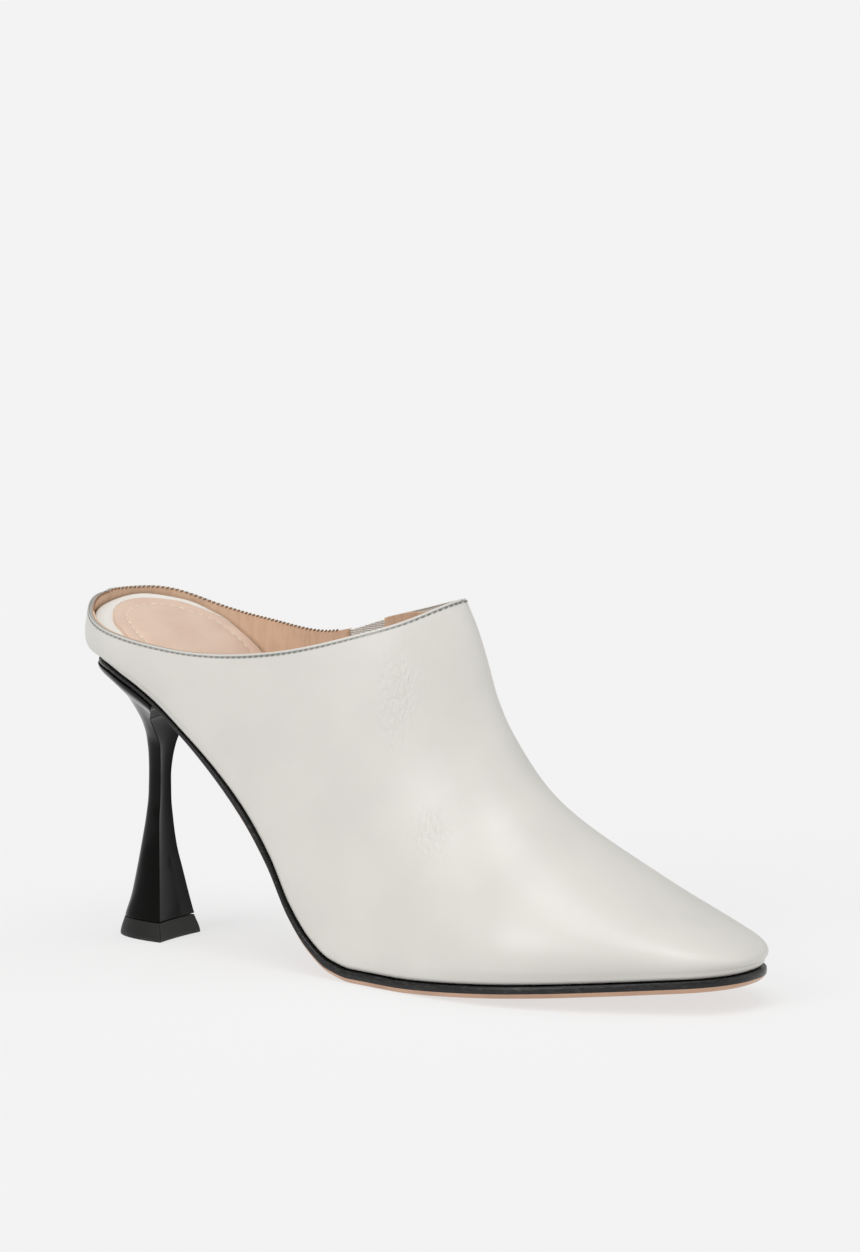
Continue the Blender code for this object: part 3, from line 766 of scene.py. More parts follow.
@dataclass(frozen=True)
class UpperLeather:
    """Off-white smooth calf: soft sheen, faint grain, a seam groove darkened by painted shade and two softly
    wrinkled patches.
    """

    colour: Triple = (0.660, 0.642, 0.598)
    cloud_shade: float = 0.955
    cloud_size: float = 26 * MM
    roughness: float = 0.40
    reflectance: float = 0.42
    coat: float = 0.12
    coat_roughness: float = 0.28
    grain_size: float = 0.55 * MM
    grain_depth: float = 0.012 * MM
    swell_size: float = 5 * MM
    swell_depth: float = 0.045 * MM
    groove_shade_colour: Triple = (0.34, 0.335, 0.31)
    groove_shade_share: float = 0.70
    groove_place: float = 1.35 * MM
    groove_width: float = 0.50 * MM
    groove_depth: float = 0.30 * MM
    wrinkle_size: float = 1.1 * MM
    wrinkle_depth: float = 0.60 * MM
    band_place: Triple = (-0.0005, -0.0190, 0.0850)
    band_stretch: Triple = (1.0, 0.6, 0.38)
    band_reach: float = 10 * MM
    patch_place: Triple = (0.0170, -0.0255, 0.0480)
    patch_stretch: Triple = (1.0, 0.6, 1.0)
    patch_reach: float = 12 * MM

    def material(self) -> bpy.types.Material:
        """Return the material."""
        paint = Paint("upper_leather", self.colour, self.roughness, self.reflectance)
        paint.set("Coat Weight", self.coat)
        paint.set("Coat Roughness", self.coat_roughness)
        groove = paint.near(paint.attribute("edge_distance"), self.groove_place, self.groove_width)
        cloud = paint.fade(paint.noise(self.cloud_size, 2.0), 0.35, 0.7)
        colour = paint.tint(cloud, self.colour, shaded(self.colour, self.cloud_shade))
        # painted shade: the colour is darkened towards a grey inside the seam groove, where shade falls
        colour = paint.tint(paint.maths("MULTIPLY", groove, self.groove_shade_share), colour, self.groove_shade_colour)
        paint.bump(paint.cells(self.grain_size), self.grain_depth)
        paint.bump(paint.noise(self.swell_size, 4.0), self.swell_depth)
        fine = paint.noise(self.wrinkle_size, 2.5, (1.0, 1.0, 0.45))
        band = paint.blob(self.band_place, self.band_stretch, self.band_reach)
        patch = paint.blob(self.patch_place, self.patch_stretch, self.patch_reach)
        paint.bump(paint.maths("MULTIPLY", fine, paint.maths("MAXIMUM", band, patch)), self.wrinkle_depth)
        paint.bump(paint.maths("MULTIPLY", groove, -1.0), self.groove_depth)
        return paint.finish(colour, paint.uneven(paint.noise(3 * MM), 0.3, 0.75, 0.03, 0.05))


@dataclass(frozen=True)
class LiningLeather:
    """Tan brushed lining with fine streaks and a browner cut edge."""

    colour: Triple = (0.720, 0.505, 0.358)
    streak: Triple = (0.590, 0.390, 0.260)
    edge: Triple = (0.240, 0.130, 0.075)
    edge_start: float = 0.5 * MM
    edge_end: float = 1.3 * MM
    roughness: float = 0.62
    reflectance: float = 0.3
    nap_depth: float = 0.06 * MM
    pore_depth: float = 0.015 * MM

    def material(self) -> bpy.types.Material:
        """Return the material."""
        paint = Paint("lining_leather", self.colour, self.roughness, self.reflectance)
        lines = paint.noise(1.6 * MM, 3.0, (1.0, 1.0, 0.16))
        colour = paint.tint(paint.fade(lines, 0.42, 0.68, 0.55), self.colour, self.streak)
        blotch = paint.fade(paint.noise(14 * MM), 0.45, 0.75, 0.5)
        colour = paint.tint(blotch, colour, shaded(self.colour, 1.12))
        cut = paint.spread(paint.attribute("edge_distance"), self.edge_start, self.edge_end, 0.75, 0.0)
        paint.bump(lines, self.nap_depth)
        paint.bump(paint.cells(0.7 * MM), self.pore_depth)
        return paint.finish(paint.tint(cut, colour, self.edge))


@dataclass(frozen=True)
class SoftLeather:
    """A plain soft leather: one colour that drifts a little, pores and a fine crumple."""

    name: str
    colour: Triple
    drift: Triple
    roughness: float = 0.5
    reflectance: float = 0.35
    pore_size: float = 0.6 * MM
    pore_depth: float = 0.02 * MM
    crumple_size: float = 2.4 * MM
    crumple_depth: float = 0.04 * MM
    sheen: float = 0.0

    def material(self) -> bpy.types.Material:
        """Return the material."""
        paint = Paint(self.name, self.colour, self.roughness, self.reflectance)
        paint.set("Sheen Weight", self.sheen)
        drift = paint.fade(paint.noise(11 * MM, 4.0), 0.35, 0.72)
        paint.bump(paint.cells(self.pore_size), self.pore_depth)
        paint.bump(paint.noise(self.crumple_size), self.crumple_depth)
        return paint.finish(paint.tint(drift, self.colour, self.drift))


@dataclass(frozen=True)
class EdgePaint:
    """Black edge paint: a satin film over ground leather fibres, a little wavy and dusty."""

    colour: Triple = (0.010, 0.010, 0.010)
    dust: Triple = (0.050, 0.049, 0.046)
    roughness: float = 0.30
    reflectance: float = 0.35
    fibre_depth: float = 0.08 * MM

    def material(self) -> bpy.types.Material:
        """Return the material."""
        paint = Paint("edge_paint", self.colour, self.roughness, self.reflectance)
        fibres = paint.noise(0.9 * MM, 4.0, (0.35, 0.35, 1.6))
        colour = paint.tint(paint.fade(fibres, 0.50, 0.78, 0.8), self.colour, self.dust)
        paint.bump(fibres, self.fibre_depth)
        return paint.finish(colour, paint.uneven(fibres, 0.3, 0.7, 0.06, 0.16))


@dataclass(frozen=True)
class SoleLeather:
    """Tan tanned sole leather, polished, with long faint fibres and soft clouds."""

    colour: Triple = (0.560, 0.350, 0.235)
    deep: Triple = (0.430, 0.255, 0.165)
    roughness: float = 0.42
    fibre_depth: float = 0.03 * MM

    def material(self) -> bpy.types.Material:
        """Return the material."""
        paint = Paint("sole_leather", self.colour, self.roughness)
        fibres = paint.noise(2.2 * MM, 5.0, (0.25, 1.0, 1.0))
        colour = paint.tint(paint.fade(paint.noise(18 * MM), 0.35, 0.7, 0.8), self.colour, self.deep)
        colour = paint.tint(paint.fade(fibres, 0.55, 0.8, 0.45), colour, self.deep)
        paint.bump(fibres, self.fibre_depth)
        return paint.finish(colour, paint.uneven(fibres, 0.3, 0.75, 0.08, 0.12))


@dataclass(frozen=True)
class Lacquer:
    """Black gloss lacquer over a moulded heel, with the faintest orange peel."""

    colour: Triple = (0.003, 0.003, 0.0027)
    roughness: float = 0.13
    reflectance: float = 0.11
    peel_size: float = 1.8 * MM
    peel_depth: float = 0.008 * MM

    def material(self) -> bpy.types.Material:
        """Return the material."""
        paint = Paint("heel_gloss", self.colour, self.roughness, self.reflectance)
        paint.bump(paint.noise(self.peel_size, 2.0), self.peel_depth)
        return paint.finish(None, paint.uneven(paint.noise(7 * MM), 0.35, 0.75, 0.04, 0.08))


@dataclass(frozen=True)
class TipRubber:
    """Matte black heel tip with a fine moulded texture and greyed wear at its foot."""

    colour: Triple = (0.012, 0.012, 0.0115)
    worn: Triple = (0.040, 0.039, 0.036)
    roughness: float = 0.48
    reflectance: float = 0.25
    worn_height: float = 1.4 * MM
    speck_depth: float = 0.03 * MM

    def material(self) -> bpy.types.Material:
        """Return the material."""
        paint = Paint("tip_rubber", self.colour, self.roughness, self.reflectance)
        height = paint.node("ShaderNodeSeparateXYZ", {0: paint.place()}).outputs["Z"]
        foot = paint.spread(height, 0.0, self.worn_height, 0.9, 0.0)
        worn = paint.maths("MULTIPLY", foot, paint.fade(paint.noise(1.5 * MM, 4.0), 0.35, 0.65))
        paint.bump(paint.noise(0.5 * MM), self.speck_depth)
        return paint.finish(paint.tint(worn, self.colour, self.worn))


@dataclass(frozen=True)
class Elastic:
    """White woven elastic: fine cross threads over the ribs that the panel's mesh carries, their troughs
    darkened by painted shade.
    """

    colour: Triple = (0.760, 0.740, 0.700)
    shade: Triple = (0.560, 0.545, 0.510)
    roughness: float = 0.8
    weave: float = 2.2 * MM
    weave_depth: float = 0.10 * MM

    def material(self) -> bpy.types.Material:
        """Return the material."""
        paint = Paint("gusset_elastic", self.colour, self.roughness)
        inputs = {"Vector": paint.place(), "Scale": 1 / self.weave, "Distortion": 0.6, "Detail": 1.0}
        wave = paint.node("ShaderNodeTexWave", inputs, bands_direction="Z").outputs["Fac"]
        paint.bump(wave, self.weave_depth)
        # painted shade: where the weave's wave is low, in its troughs, the colour is tinted towards the
        # darker shade colour
        return paint.finish(paint.tint(paint.spread(wave, 0.2, 0.8, 0.6, 0.0), self.colour, self.shade))


@dataclass(frozen=True)
class Thread:
    """Twisted sewing thread."""

    name: str
    colour: Triple
    roughness: float = 0.55
    twist_size: float = 0.22 * MM
    twist_depth: float = 0.05 * MM

    def material(self) -> bpy.types.Material:
        """Return the material."""
        paint = Paint(self.name, self.colour, self.roughness)
        twist = paint.noise(self.twist_size, 2.0)
        paint.bump(twist, self.twist_depth)
        dark = paint.fade(twist, 0.4, 0.7, 0.8)
        return paint.finish(paint.tint(dark, self.colour, shaded(self.colour, 0.6)))


def carry(piece: Piece, materials: list[bpy.types.Material], slot: str, *nodes: str) -> Piece:
    """Dress a piece, let it ride on the shoe and stand for its solids.

    Args:
        piece: The piece.
        materials: Its materials, in the order of its faces' material numbers.
        slot: The name of a material slot; not used.
        *nodes: The solids that it replaces.

    Returns:
        The piece.
    """
    for material in materials:
        piece.data.materials.append(material)
    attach(piece, "root")
    if nodes:
        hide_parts(*nodes)
    LOG.info("%s: %d faces", piece.name, len(piece.data.polygons))
    return piece


@dataclass
class StitchRow:
    """A row of stitches: short capsules of thread that dip at both ends."""

    name: str
    thread: Thread
    slot: str
    pitch: float = 1.9 * MM
    stitch: float = 1.45 * MM
    thickness: float = 0.34 * MM
    sink: float = 0.10 * MM
    tilt: float = 0.0

    def build(self, paths: list[tuple[Array, Array]]) -> Piece:
        """Make the row.

        Each stitch is a capsule: a circle whose radius follows the square root of 1 - s^6 and whose centre
        dips by s^4 of the sink, s running from -1 to 1 along it.

        Args:
            paths: Points and surface normals of each line to sew.

        Returns:
            The object.
        """
        turn = np.linspace(0, 2 * np.pi, 7)[:-1]
        s = np.linspace(-1, 1, 7)
        radius = self.thickness / 2 * np.sqrt(np.clip(1 - (s * 0.98) ** 6, 0, 1))
        grids = []
        for path, normals in paths:
            centre, along = by_length(path, self.pitch, self.pitch / 2)
            nearest = np.array_split(centre, max(1, len(centre) // 200))
            pick = np.concatenate([((part[:, None] - path[None]) ** 2).sum(-1).argmin(1) for part in nearest])
            up = unit(normals[pick] - along * (normals[pick] * along).sum(-1, keepdims=True))
            cross = np.cross(up, along)
            along = unit(along * np.cos(self.tilt) + cross * np.sin(self.tilt))
            cross = np.cross(up, along)
            spine = centre[:, None] + along[:, None] * (s * self.stitch / 2)[None, :, None]
            spine = spine - up[:, None] * (self.sink * s**4)[None, :, None]
            ring = cross[:, None, None] * np.cos(turn)[:, None] + up[:, None, None] * np.sin(turn)[:, None]
            grids.append(spine[:, :, None] + ring * radius[None, :, None, None])
        grid = np.concatenate(grids)
        count, rows, columns = grid.shape[:3]
        one = grid_faces(rows, columns, closed=True)
        faces = (one[None] + (np.arange(count) * rows * columns)[:, None, None]).reshape(-1, 4)
        made = mesh_object(self.name, grid.reshape(-1, 3), faces, merge=False, crease_angle=60)
        return carry(made, [self.thread.material()], self.slot)


@dataclass
class Upper:
    """The upper: leather over a lining, the elastic panel in its slit and the seam round its collar."""

    last: Last = LAST
    leather: float = 1.15 * MM
    lining_gap: float = 0.08 * MM
    margin: float = 4.5 * MM
    lip: float = 0.55 * MM
    seam_place: float = 1.35 * MM
    slit_width: float = 16.0 * MM
    slit_depth: float = 26.0 * MM
    slit_foot: float = 11.0 * MM
    slit_place: float = 45.4 * MM
    panel_taper: float = 0.80
    panel_drop: float = 0.9 * MM
    panel_front: float = 0.45 * MM
    panel_back: float = 1.35 * MM
    ribs: int = 11
    rib_height: float = 0.11 * MM
    medial_fold: float = 0.7
    quarter_drop: float = 0.45 * MM
    vamp_drop: float = 1.9 * MM
    drop_start: float = 0.300
    drop_end: float = 0.312
    pinked_end: float = 0.243
    pinked_back: float = 0.020
    top_rows: int = 13
    top_share: float = 0.82
    rows: int = 46
    low: Array = field(init=False)
    high: Array = field(init=False)
    side: Array = field(init=False)

    def __post_init__(self) -> None:
        """Lay out the columns once round: toe tip, lateral side, heel back, medial side.

        A column starts on the feather edge at its low station and ends at its high one. The high stations
        crowd towards the vamp point by a power, where the collar's edge meets the ridge like a square root.
        """
        last = self.last
        heel_end, toe_start = last.heel_curve_end, last.toe_curve_start
        heel = heel_end * (1 - np.cos(np.linspace(0, QUARTER_TURN, 19)))
        collar = np.linspace(heel_end, last.vamp_foot, 64)
        waist = last.vamp_foot + (toe_start - last.vamp_foot) * np.linspace(0, 1, 62) ** 1.25
        toe = toe_start + (1 - toe_start) * np.sin(np.linspace(0, QUARTER_TURN, 22))
        low = np.concatenate([heel, collar[1:], waist[1:], toe[1:]])
        crowded = last.crowded_to_vamp(heel_end, len(collar))
        high = np.interp(low, [*collar, toe_start, 1], [*crowded, toe_start, 1])
        high[: len(heel)] = heel
        self.low = np.append(low[::-1], low[1:-1])
        self.high = np.append(high[::-1], high[1:-1])
        self.side = np.concatenate([-np.ones(len(low)), np.ones(len(low) - 2)])

    @property
    def collar(self) -> Array:
        """The columns that end at the collar, from the vamp point round the heel and back to it."""
        return np.flatnonzero(self.high <= self.last.vamp_station + TINY)

    def creases(self, points: Array) -> Array:
        """Return how far the skin rises or sinks at each point, as listed soft folds.

        Each fold is a bell across a slanting line times a bell along it: two faint ones over the break of the
        toes, one hollow under the ankle and a soft ridge that runs down from the throat.
        """
        x, y, z = points[..., 0], points[..., 1], points[..., 2]
        rise = sum(
            fold.depth * bell(x + fold.slant * z, fold.place, fold.width) * bell(z, fold.height, fold.reach)
            for fold in FOLDS
        )
        return rise * np.where(y < 0, 1.0, self.medial_fold)

    def shares(self, stops: Array) -> Array:
        """Return, for each row and column, the share of the way up that lies at a share of the arc length."""
        fine = np.linspace(0, 1, 161)[:, None]
        top = self.last.top_angle(self.high, self.side)
        points = self.last.skin(self.low + (self.high - self.low) * fine, self.side, top * fine)
        length = np.cumsum(np.linalg.norm(np.diff(points, axis=0, prepend=points[:1]), axis=-1), axis=0)
        want = stops[:, None] * length[-1]
        after = np.clip((length[None] < want[:, None]).sum(1), 1, len(fine) - 1)
        column = np.arange(len(self.low))[None]
        before_length, after_length = length[after - 1, column], length[after, column]
        part = (want - before_length) / np.maximum(after_length - before_length, 1e-12)
        return (after - 1 + np.clip(part, 0, 1)) / (len(fine) - 1)

    def face(self, depth: float, drop: Array | float = 0.0) -> Array:
        """Return the grid of a face at a depth under the skin, from the lasting margin to its top.

        Args:
            depth: Distance inwards along the skin's normal.
            drop: How far below the collar's edge it ends, for each column.

        Returns:
            Rows by columns of points.
        """
        last, level = self.last, self.last.feather_round
        turn = np.radians([90, 90, 90, 72, 54, 36, 18])
        back = np.array([self.margin, self.margin / 2, 0, 0, 0, 0, 0])
        under = []
        for angle, behind in zip(turn, back):
            radius = level - depth
            offset = -level + radius * np.cos(angle) - behind
            under.append(last.edge(self.low, self.side, offset, level - radius * np.sin(angle)))
        below = np.linspace(0, self.top_share, self.rows - self.top_rows + 1)
        stops = np.append(below[:-1], np.linspace(self.top_share, 1, self.top_rows))
        share = self.shares(stops)
        top = last.top_angle(self.high, self.side)
        station, angle = self.low + (self.high - self.low) * share, top * share
        on_ridge = self.high >= last.vamp_station - TINY
        angle[-1, on_ridge] = QUARTER_TURN
        side = np.broadcast_to(self.side, station.shape)
        skin = last.skin(station, side, angle)
        normal = last.normal(station, side, angle)
        points = skin + normal * (self.creases(skin) - depth)[..., None]
        grid = np.concatenate([np.stack(under), points])
        closed = (self.low <= 0) | (self.low >= 1)
        grid[:, closed, 1] = 0
        grid[-1, on_ridge, 1] = 0
        if np.any(drop):
            rows = grid[-self.top_rows :, self.collar]
            drop = np.broadcast_to(drop, self.collar.shape)
            height = np.linalg.norm(rows[-1] - rows[0], axis=-1)
            stretch = np.clip(1 - drop / height, 0, 1)[None, :, None]
            grid[-self.top_rows :, self.collar] = rows[:1] + (rows - rows[:1]) * stretch
        return grid

    def frame(self, grid: Array) -> tuple[Array, Array]:
        """Return the outward normal and the upward in-surface direction along a grid's collar edge."""
        collar = self.collar
        top = self.last.top_angle(self.high, self.side)[collar]
        normal = self.last.normal(self.high[collar], self.side[collar], top)
        edge = grid[-1, collar]
        ring = np.concatenate([edge[-2:-1], edge, edge[1:2]])
        tangent = unit(ring[2:] - ring[:-2])
        return normal, unit(np.cross(normal, tangent))

    def shell(self, name: str, outer: Array, inner: Array, edge: Array) -> Piece:
        """Join two faces into a closed wall.

        Args:
            name: The object's name.
            outer: The outer face's grid.
            inner: The inner face's grid, with as many rows and columns.
            edge: Rows of points from the outer to the inner face along the collar.

        Returns:
            The object.
        """
        rows, columns = outer.shape[:2]
        size = rows * columns
        foot = np.stack([inner[0], outer[0]])
        points = np.concatenate([part.reshape(-1, 3) for part in (outer, inner, edge, foot)])
        edge_rows, edge_columns = edge.shape[:2]
        faces = [
            grid_faces(rows, columns, closed=True)[:, ::-1],
            grid_faces(rows, columns, size, closed=True),
            grid_faces(edge_rows, edge_columns, 2 * size)[:, ::-1],
            grid_faces(2, columns, 2 * size + edge_rows * edge_columns, closed=True)[:, ::-1],
        ]
        return mesh_object(name, points, np.concatenate(faces), crease_angle=50)

    def topline_path(self) -> Array:
        """Return the collar's edge as a closed, finely stepped path."""
        top = self.last.top_angle(self.high, self.side)[self.collar]
        edge = self.last.skin(self.high[self.collar], self.side[self.collar], top)
        return by_length(edge, 0.25 * MM)[0]

    def give_edge_distance(self, piece: Piece) -> None:
        """Store each point's distance to the collar's edge on the piece."""
        mesh = piece.data
        points = np.empty(len(mesh.vertices) * 3, np.float32)
        mesh.vertices.foreach_get("co", points)
        distance = distance_to(points.reshape(-1, 3), self.topline_path()).astype(np.float32)
        mesh.attributes.new("edge_distance", "FLOAT", "POINT").data.foreach_set("value", distance)

    def slit_corners(self, clearance: float) -> list[tuple[float, float]]:
        """Return the slit's outline as seen from the side: foot back, foot front, top front, top back."""
        last = self.last
        middle, top = last.vamp_point[0] - self.slit_place, last.vamp_point[2]
        foot = float(last.topline(np.array(middle), 1)) - self.slit_depth + clearance
        narrow, wide = self.slit_foot / 2 - clearance, self.slit_width / 2 - clearance
        return [(middle - narrow, foot), (middle + narrow, foot), (middle + wide, top), (middle - wide, top)]

    def cut_slit(self, piece: Piece) -> None:
        """Cut the slit of the elastic panel through a piece."""
        ball = self.last.ball_width
        points = np.array([(x, y, z) for y in (ball / 8, ball) for x, z in self.slit_corners(0.0)])
        sides = [(n, n + 4, (n + 1) % 4 + 4, (n + 1) % 4) for n in range(4)]
        faces = np.array([(0, 1, 2, 3), (7, 6, 5, 4), *sides])
        cutter = mesh_object("slit_cutter", points, faces)
        cut = piece.modifiers.new("Slit", "BOOLEAN")
        cut.object, cut.operation, cut.solver = cutter, "DIFFERENCE", "EXACT"
        graph = bpy.context.evaluated_depsgraph_get()
        mesh = bpy.data.meshes.new_from_object(piece.evaluated_get(graph))
        piece.modifiers.clear()
        piece.data = mesh
        bpy.data.objects.remove(cutter)

    def build_leather(self) -> Piece:
        """Make the leather: outer face, a half-round lip over the collar and an inner face."""
        outer = self.face(0.0, self.lip)
        inner = self.face(self.leather, self.lip)
        normal, up = self.frame(outer)
        turn = np.linspace(0, np.pi, 9)[:, None, None]
        start, end = outer[-1, self.collar], inner[-1, self.collar]
        centre, radius = (start + end) / 2, np.linalg.norm(start - end, axis=-1, keepdims=True) / 2
        across_lip = unit(start - end)
        edge = centre + across_lip * radius * np.cos(turn) + up * self.lip * np.sin(turn)
        piece = self.shell("upper_leather", outer, inner, edge)
        self.cut_slit(piece)
        self.give_edge_distance(piece)
        return carry(piece, [UpperLeather().material()], "upper_leather", "upper")

    def lining_drop(self) -> Array:
        """Return how far below the collar's edge the lining ends: little at the quarter, more at the vamp."""
        stations = [0.0, self.drop_start, self.drop_end, 1.0]
        drops = [self.quarter_drop, self.quarter_drop, self.vamp_drop, self.vamp_drop]
        return np.interp(self.high[self.collar], stations, drops)

    def build_lining(self) -> Piece:
        """Make the lining, a thin closed wall on the leather's inner face."""
        drop = self.lining_drop()
        outer = self.face(self.leather + self.lining_gap, drop)
        inner = self.face(self.last.wall, drop)
        edge = np.stack([outer[-1, self.collar], inner[-1, self.collar]])
        piece = self.shell("lining", outer, inner, edge)
        self.cut_slit(piece)
        self.give_edge_distance(piece)
        return carry(piece, [LiningLeather().material()], "sock_leather")

    def build_pinking(self) -> Piece:
        """Make the pinked edge of the medial lining, a row of small slanted teeth in brown."""
        drop = self.lining_drop()
        inner = self.face(self.last.wall - 0.15 * MM, drop * 0.6)
        normal, _ = self.frame(inner)
        high, side = self.high[self.collar], self.side[self.collar]
        keep = (high < self.pinked_end) & ((side > 0) | (high < self.pinked_back))
        path, normals = inner[-1, self.collar][keep], -normal[keep]
        brown = Thread("pinked_edge", (0.300, 0.170, 0.095), 0.7)
        row = StitchRow("pinked_edge", brown, "sock_leather", 1.5 * MM, 1.25 * MM, 0.62 * MM, 0.10 * MM, 0.62)
        return row.build([(path, normals)])

    def seam(self, depth: float, drop: float) -> list[tuple[Array, Array]]:
        """Return the line that runs a fixed distance below the collar's edge, on both sides.

        Each point is the edge's point moved square to the edge in the surface, then settled on the skin.
        """
        last, lines = self.last, []
        for side in (-1.0, 1.0):
            spread = last.crowded_to_vamp(0.0, 220)
            sides = np.full(len(spread), side)
            angle = last.top_angle(spread, sides)
            edge, normal = last.skin(spread, sides, angle), last.normal(spread, sides, angle)
            tangent = unit(np.gradient(edge, axis=0))
            down = unit(np.cross(normal, tangent)) * side
            target = edge + down * drop
            station, angle = last.settle(target, sides, spread, np.minimum(angle, 1.56), [0, 1, 2])
            normal = last.normal(station, sides, angle)
            lines.append((last.skin(station, sides, angle) - normal * depth, normal))
        return lines

    def build_seam(self) -> Piece:
        """Sew round the collar, a seam's distance below its edge."""
        thread = Thread("collar_thread", (0.205, 0.222, 0.205))
        row = StitchRow("collar_stitches", thread, "upper_leather", tilt=0.12)
        return row.build(self.seam(0.05 * MM, self.seam_place))

    def build_gusset(self) -> Piece:
        """Make the elastic panel: a ribbed sheet in the slit, its ribs a cosine across its width."""
        last = self.last
        corners = self.slit_corners(last.fit_gap)
        (left_foot, foot), (right_foot, _), (right_top, _), (left_top, _) = corners
        v, u = np.meshgrid(np.linspace(0, 1, 40), np.linspace(0, 1, 145), indexing="ij")
        left = left_foot + (left_top - left_foot) * v * self.panel_taper
        right = right_foot + (right_top - right_foot) * v * self.panel_taper
        x = left + (right - left) * u
        z = foot + (last.topline(x, np.ones(x.shape)) - self.panel_drop - foot) * v
        target = np.stack([x, np.zeros(x.shape), z], -1).reshape(-1, 3)
        side = np.ones(len(target))
        station, angle = last.settle(target, side, 0.24 * side, 0.6 * side, [0, 2])
        skin, normal = last.skin(station, side, angle), last.normal(station, side, angle)
        ribs = (self.rib_height * np.cos(2 * np.pi * u * self.ribs)).reshape(-1, 1)
        front = (skin - normal * (self.panel_front - ribs)).reshape(*x.shape, 3)
        back = (skin - normal * (self.panel_back + ribs)).reshape(*x.shape, 3)
        piece = plate_object("elastic_panel", [back, front], 60)
        return carry(piece, [Elastic().material()], "gusset_elastic", "elastic_gusset")

    def build(self) -> None:
        """Make every piece of the upper."""
        self.build_leather()
        self.build_lining()
        self.build_pinking()
        self.build_seam()
        self.build_gusset()


@dataclass
class Bottom:
    """What lies on the last's bottom: the sole below it, the insole and the padded sock above it."""

    last: Last = LAST
    sock_thickness: float = 1.6 * MM
    sock_edge: float = 0.7 * MM
    sock_border: float = 5.2 * MM
    sole_edge: float = 0.5 * MM
    sole_bevel: float = 1.5 * MM
    sole_ease: float = 0.25 * MM
    sole_corner: float = 0.35 * MM
    thin_share: float = 0.60
    thin_blend: float = 0.35
    paint_margin: float = 0.02 * MM
    sock_end: float = 0.425
    sock_round_start: float = 0.34
    sock_seam: float = 4.3 * MM
    edge_round: float = 1.3 * MM
    crown: float = 0.7 * MM
    crown_reach: float = 7 * MM
    dent: float = 0.45 * MM
    dent_width: float = 0.8 * MM

    @property
    def stations(self) -> Array:
        """Stations from heel to toe, crowded at both round ends."""
        last = self.last
        heel = last.heel_curve_end * (1 - np.cos(np.linspace(0, QUARTER_TURN, 24)))
        middle = np.linspace(last.heel_curve_end, last.tread_start, 60)
        forepart = np.linspace(last.tread_end, last.toe_curve_start, 44)
        toe = last.toe_curve_start + (1 - last.toe_curve_start) * np.sin(np.linspace(0, QUARTER_TURN, 24))
        return np.concatenate([heel, middle[1:], forepart, toe[1:]])

    def grid(self, stations: Array, offset: Array) -> Array:
        """Return a plan grid over the bottom, its edge set off from the feather edge."""
        edges = []
        for side in (-1.0, 1.0):
            edge = self.last.edge(stations, side, offset, 0.0)
            edge[(stations <= 0) | (stations >= 1), 1] = 0
            edges.append(edge)
        return across(*edges, 36)

    def build_sole(self) -> Piece:
        """Make the sole: a black upright edge with eased corners over a tan bevel and bottom."""
        last, stations = self.last, self.stations
        share = monotone(BOTTOM, "sole")(stations)
        proud = self.sole_edge * (2 * share - 1)
        bevel = self.sole_bevel * share**2

        def thick(x: Array) -> Array:
            """Return the sole's upright thickness share along the shoe."""
            return monotone(BOTTOM, "sole")((x + last.tread_x) / last.length)

        depth = last.sole_thickness
        ease = self.sole_ease * share
        profile = [
            (proud - bevel, lambda x: -depth * thick(x)),
            (proud - bevel * 0.55, lambda x: (-depth + self.sole_bevel * 0.30) * thick(x)),
            (proud - bevel * 0.18, lambda x: (-depth + self.sole_bevel * 0.72) * thick(x)),
            (proud, lambda x: -(depth - self.sole_bevel) * thick(x)),
            (proud + ease * 0.3, lambda x: -(depth - self.sole_bevel) * 0.55 * thick(x)),
            (proud, lambda x: -self.sole_corner * thick(x)),
            (proud - ease, lambda x: 0 * x),
        ]
        grids = []
        for offset, height in profile:
            plan = self.grid(stations, offset)
            x, y = plan[..., 0], plan[..., 1]
            plan[..., 2] = last.bottom(x, y) + (height(x) - last.fit_gap)
            grids.append(plan)
        piece = plate_object("sole", grids, 32)
        mesh = piece.data
        centres = np.empty(len(mesh.polygons) * 3, np.float32)
        mesh.polygons.foreach_get("center", centres)
        x, y, z = centres.reshape(-1, 3).T
        below = last.bottom(x, y) - last.fit_gap - z
        full = np.clip((thick(x) - self.thin_share) / self.thin_blend, 0, 1)
        limit = (depth - full * self.sole_bevel) * thick(x) - (1 - 2 * full) * self.paint_margin
        mesh.polygons.foreach_set("material_index", np.where(below < limit, 1, 0).astype(np.int32))
        return carry(piece, [SoleLeather().material(), EdgePaint().material()], "sole_leather", "outsole")

    def build_insole(self) -> Piece:
        """Make the insole under its white leather: its sides follow the upper's wall, its top is eased."""
        last = self.last
        low = last.wall + 1.5 * last.fit_gap
        sides = [(0.0, 0.9, 0.0), (0.35, 1.8, 0.0), (0.7, 1.4, 0.0)]
        rounding = [(1.0, 0.55, -1.0), (1.0, 0.62, -0.5), (1.0, 0.85, -0.15), (1.0, 1.4, 0.0)]
        grids = []
        for share, gap, sunk in sides + rounding:
            inset = last.wall + gap * MM
            edges = [last.footbed_edge(self.stations, side, share, inset) for side in (-1.0, 1.0)]
            plan = across(*edges, 48)
            x, y = plan[..., 0], plan[..., 1]
            base = last.bottom(x, y) + low * last.upright(x)
            plan[..., 2] = (1 - share) * base + share * last.footbed(x, y, sunk * MM)
            grids.append(plan)
        finish = SoftLeather("insole_leather", (0.800, 0.790, 0.750), (0.770, 0.755, 0.710), 0.42)
        return carry(plate_object("insole_cover", grids, 60), [finish.material()], "insole_leather", "insole")

